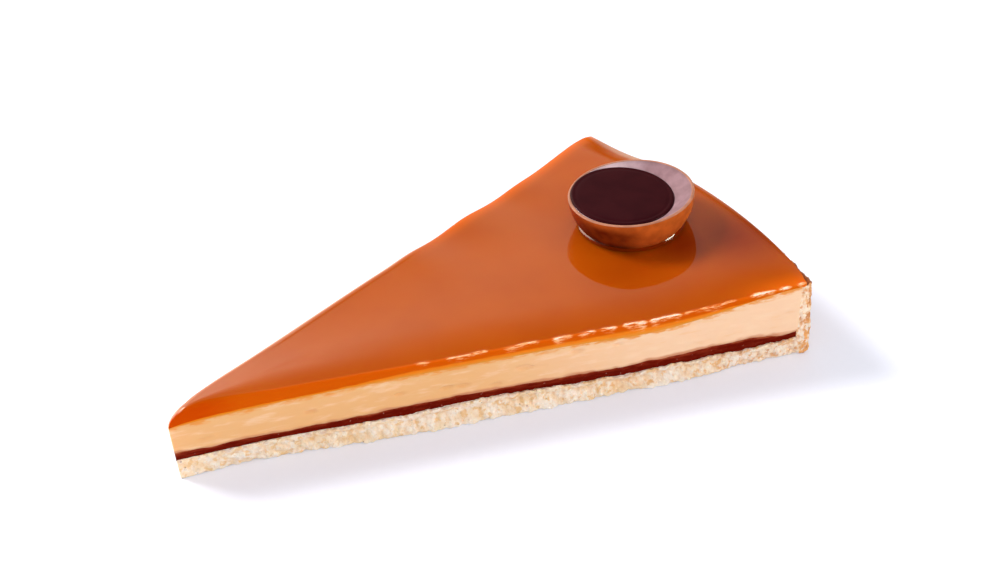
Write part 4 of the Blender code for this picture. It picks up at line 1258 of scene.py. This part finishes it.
def glaze_material():
    n = Nodes("caramel_glaze")
    up = n.value_of("up")
    body = n.mix(n.pattern(*GLAZE_CLOUDS), GLAZE_BODY, GLAZE_BODY_DEEP)
    edge = n.mix(n.ramp(n.axis(n.position, "X"), *TIP_ALONG), GLAZE_SHOULDER, GLAZE_TIP)
    color = n.mix(n.ramp(n.value_of("inward"), *SHOULDER_SHARE), body, edge)
    # Painted glow where light comes through the thin edge of the glaze
    color = n.mix(n.value_of("painted_glow"), color, GLAZE_PAINTED_GLOW)
    # Painted shadow of the cup darkens the glaze beside it
    color = n.mix(n.math("MULTIPLY", n.value_of("painted_shade"), GLAZE_PAINTED_SHADOW_SHARE), color, GLAZE_PAINTED_SHADOW)
    # Painted pale sheen along the back edge near the tip
    color = n.mix(n.value_of("pale"), color, GLAZE_PAINTED_SHEEN)
    color = n.mix(n.ramp(up, *CUT_SHARE), color, GLAZE_CUT)
    color = n.mix(n.ramp(up, *CUT_BLEED_SHARE), color, GLAZE_BLEED)
    # The torn front edge is painted paler and white: partly torn glaze, partly painted highlight
    frayed = n.math("MULTIPLY", n.value_of("torn"), n.pattern(*GLAZE_FRAY))
    color = n.mix(n.ramp(frayed, *TORN_PAINTED_SHEEN_SHARE), color, GLAZE_TORN_PAINTED_SHEEN)
    color = n.mix(n.ramp(frayed, *TORN_PAINTED_HIGHLIGHT_SHARE), color, GLAZE_TORN_PAINTED_HIGHLIGHT)
    n.set(Base_Color=color, Roughness=0.04, IOR=1.45, Specular_IOR_Level=0.5)
    n.set(Subsurface_Weight=0.3, Subsurface_Radius=(1.0, 0.25, 0.05), Subsurface_Scale=2.0 * MM)
    n.set(Normal=n.bump(n.pattern(*GLAZE_BUMPS), distance=0.02 * MM))
    return n.material


def cup_materials():
    made = []
    for name, color, roughness, specular in CUP_FINISHES:
        n = Nodes(name)
        if name == "cup_outside":
            # Painted shade: the left side of the cup darker
            color = n.mix(n.value_of("left"), color, CUP_LEFT_PAINTED_SHADE)
            # Painted shade and dark reflection low on the outside, broken up into smudges
            painted_shade = n.math("MULTIPLY", n.value_of("painted_shade"), n.pattern(*CUP_PAINTED_SHADE_SMUDGES))
            color = n.mix(painted_shade, color, CUP_PAINTED_SHADE)
        if name == "cup_inside":
            # Painted light on the inside toward the back and left
            color = n.mix(n.value_of("lit"), color, CUP_INSIDE_PAINTED_LIGHT)
        color = n.mix(n.pattern(*CUP_CLOUDS), color, CUP_TINT, blend="MULTIPLY")
        n.set(Base_Color=color, Roughness=roughness, Specular_IOR_Level=specular)
        n.set(Normal=n.bump(n.pattern(*CUP_BUMPS), distance=0.03 * MM))
        made.append(n.material)
    return made


def ganache_material():
    n = Nodes("cup_filling")
    color = n.mix(n.pattern(*GANACHE_CLOUDS), GANACHE, GANACHE_DEEP)
    n.set(Base_Color=color, Roughness=0.3, Specular_IOR_Level=0.03)
    n.set(Normal=n.bump(n.pattern(*GANACHE_BUMPS), distance=0.01 * MM))
    return n.material


# Camera, light and floor
def make_camera():
    """The photograph's own viewpoint, found from the corners of the slice."""
    data = bpy.data.cameras.new("camera")
    data.lens = CAMERA_LENS
    data.sensor_width = CAMERA_SENSOR
    data.clip_start = CAMERA_NEAR
    camera = in_scene("camera", data)
    turn = Matrix((CAMERA_RIGHT, CAMERA_UP, CAMERA_BACK)).transposed()
    camera.matrix_world = Matrix.Translation(CAMERA_PLACE) @ turn.to_4x4()
    bpy.context.scene.camera = camera


def toward(azimuth, elevation):
    """The direction at an azimuth and elevation in degrees."""
    a, e = math.radians(azimuth), math.radians(elevation)
    return Vector((math.cos(a) * math.cos(e), math.sin(a) * math.cos(e), math.sin(e)))


def make_light(name, azimuth, elevation, distance, size, power):
    """A soft light that looks at the slice from a direction and isn't mirrored in the gloss."""
    data = bpy.data.lights.new(name, "AREA")
    data.shape = "RECTANGLE"
    data.size, data.size_y = size
    data.energy = power
    lamp = in_scene(name, data)
    out = toward(azimuth, elevation)
    lamp.location = out * distance
    lamp.rotation_mode = "QUATERNION"
    lamp.rotation_quaternion = out.to_track_quat("Z", "Y")
    lamp.visible_glossy = False
    lamp.visible_camera = False


def make_world():
    """Even white light from all round, which the gloss doesn't mirror."""
    world = bpy.data.worlds.new("studio")
    bpy.context.scene.world = world
    world.use_nodes = True
    shader = world.node_tree.nodes["Background"]
    shader.inputs["Color"].default_value = (*WORLD_COLOR, 1.0)
    shader.inputs["Strength"].default_value = WORLD_STRENGTH
    world.cycles_visibility.glossy = False


def room_strength(n):
    """Brightness of the mirrored room in each direction."""
    direction = n.add("ShaderNodeVectorMath", {0: n.position}, operation="NORMALIZE")
    across, away, up = (n.axis(direction, name) for name in "XYZ")
    falling = n.math("MULTIPLY", n.ramp(up, *ROOM_HIGH), n.ramp(up, *ROOM_LOW))
    sideways = n.math("ADD", n.ramp(across, *ROOM_RIGHT), n.ramp(across, *ROOM_LEFT))
    sideways = n.math("ADD", sideways, n.ramp(across, *ROOM_WINDOW))
    horizon = n.math("MULTIPLY", n.ramp(up, *ROOM_HORIZON), n.ramp(across, *HORIZON_RIGHT))
    behind = n.math("ADD", n.math("MULTIPLY", falling, sideways), horizon)
    strength = n.math("MULTIPLY", behind, n.ramp(away, *ROOM_BEHIND))
    for azimuth, elevation, half_width, brightness in SOFTBOXES:
        inputs = {0: direction, 1: toward(azimuth, elevation)}
        near = n.add("ShaderNodeVectorMath", inputs, "Value", operation="DOT_PRODUCT")
        full = math.cos(math.radians(half_width))
        glow = n.ramp(near, 2.0 * full - 1.0, full, 0.0, brightness)
        strength = n.math("ADD", strength, glow)
    return strength


def make_mirrored_room():
    """What the gloss mirrors: a room that is bright low down and to the left, and dark above."""
    bm = bmesh.new()
    bmesh.ops.create_uvsphere(
        bm, u_segments=ROOM_SEGMENTS, v_segments=ROOM_RINGS, radius=ROOM_RADIUS
    )
    bmesh.ops.reverse_faces(bm, faces=bm.faces)
    mesh = mesh_from("mirrored_room", bm)
    n = Nodes("mirrored_room")
    inputs = {"Color": ROOM_COLOR, "Strength": room_strength(n)}
    glow = n.add("ShaderNodeEmission", inputs)
    output = next(node for node in n.tree.nodes if node.type == "OUTPUT_MATERIAL")
    n.put(output.inputs["Surface"], glow)
    n.tree.nodes.remove(n.shader)
    n.material.cycles.emission_sampling = "NONE"
    mesh.materials.append(n.material)
    room = in_scene("mirrored_room", mesh)
    room.visible_camera = False
    room.visible_diffuse = False
    room.visible_transmission = False
    room.visible_shadow = False


def make_floor():
    """A plain pale floor that runs on to a soft horizon."""
    bm = bmesh.new()
    bmesh.ops.create_circle(bm, cap_ends=True, radius=FLOOR_RADIUS, segments=FLOOR_SEGMENTS)
    mesh = mesh_from("floor", bm)
    n = Nodes("floor")
    n.set(Base_Color=FLOOR_COLOR, Roughness=0.6, Specular_IOR_Level=0.2)
    n.set(Emission_Color=FLOOR_GLOW_COLOR, Emission_Strength=FLOOR_GLOW)
    mesh.materials.append(n.material)
    floor = in_scene("floor", mesh)
    floor.location.z = CAD_LOW.z
    floor.visible_glossy = False


def main():
    make_crust(crust_material())
    make_filling(
        "tart_chocolate_layer", "chocolate_layer", chocolate_layer_material(),
        CHOCOLATE_CELLS, ("up",), chocolate_heights, chocolate_cut_depth,
    )
    make_filling(
        "tart_caramel_cream", "caramel_cream", cream_material(),
        CREAM_CELLS, ("up", "out"), cream_heights, cream_cut_depth,
    )
    make_caramel_glaze(glaze_material())
    make_chocolate_cup(cup_materials())
    make_cup_filling(ganache_material())
    make_floor()
    make_world()
    make_mirrored_room()
    for settings in LIGHTS:
        make_light(*settings)
    make_camera()
    bpy.context.scene.view_settings.view_transform = "Standard"


main()
bpy.context.view_layer.update()
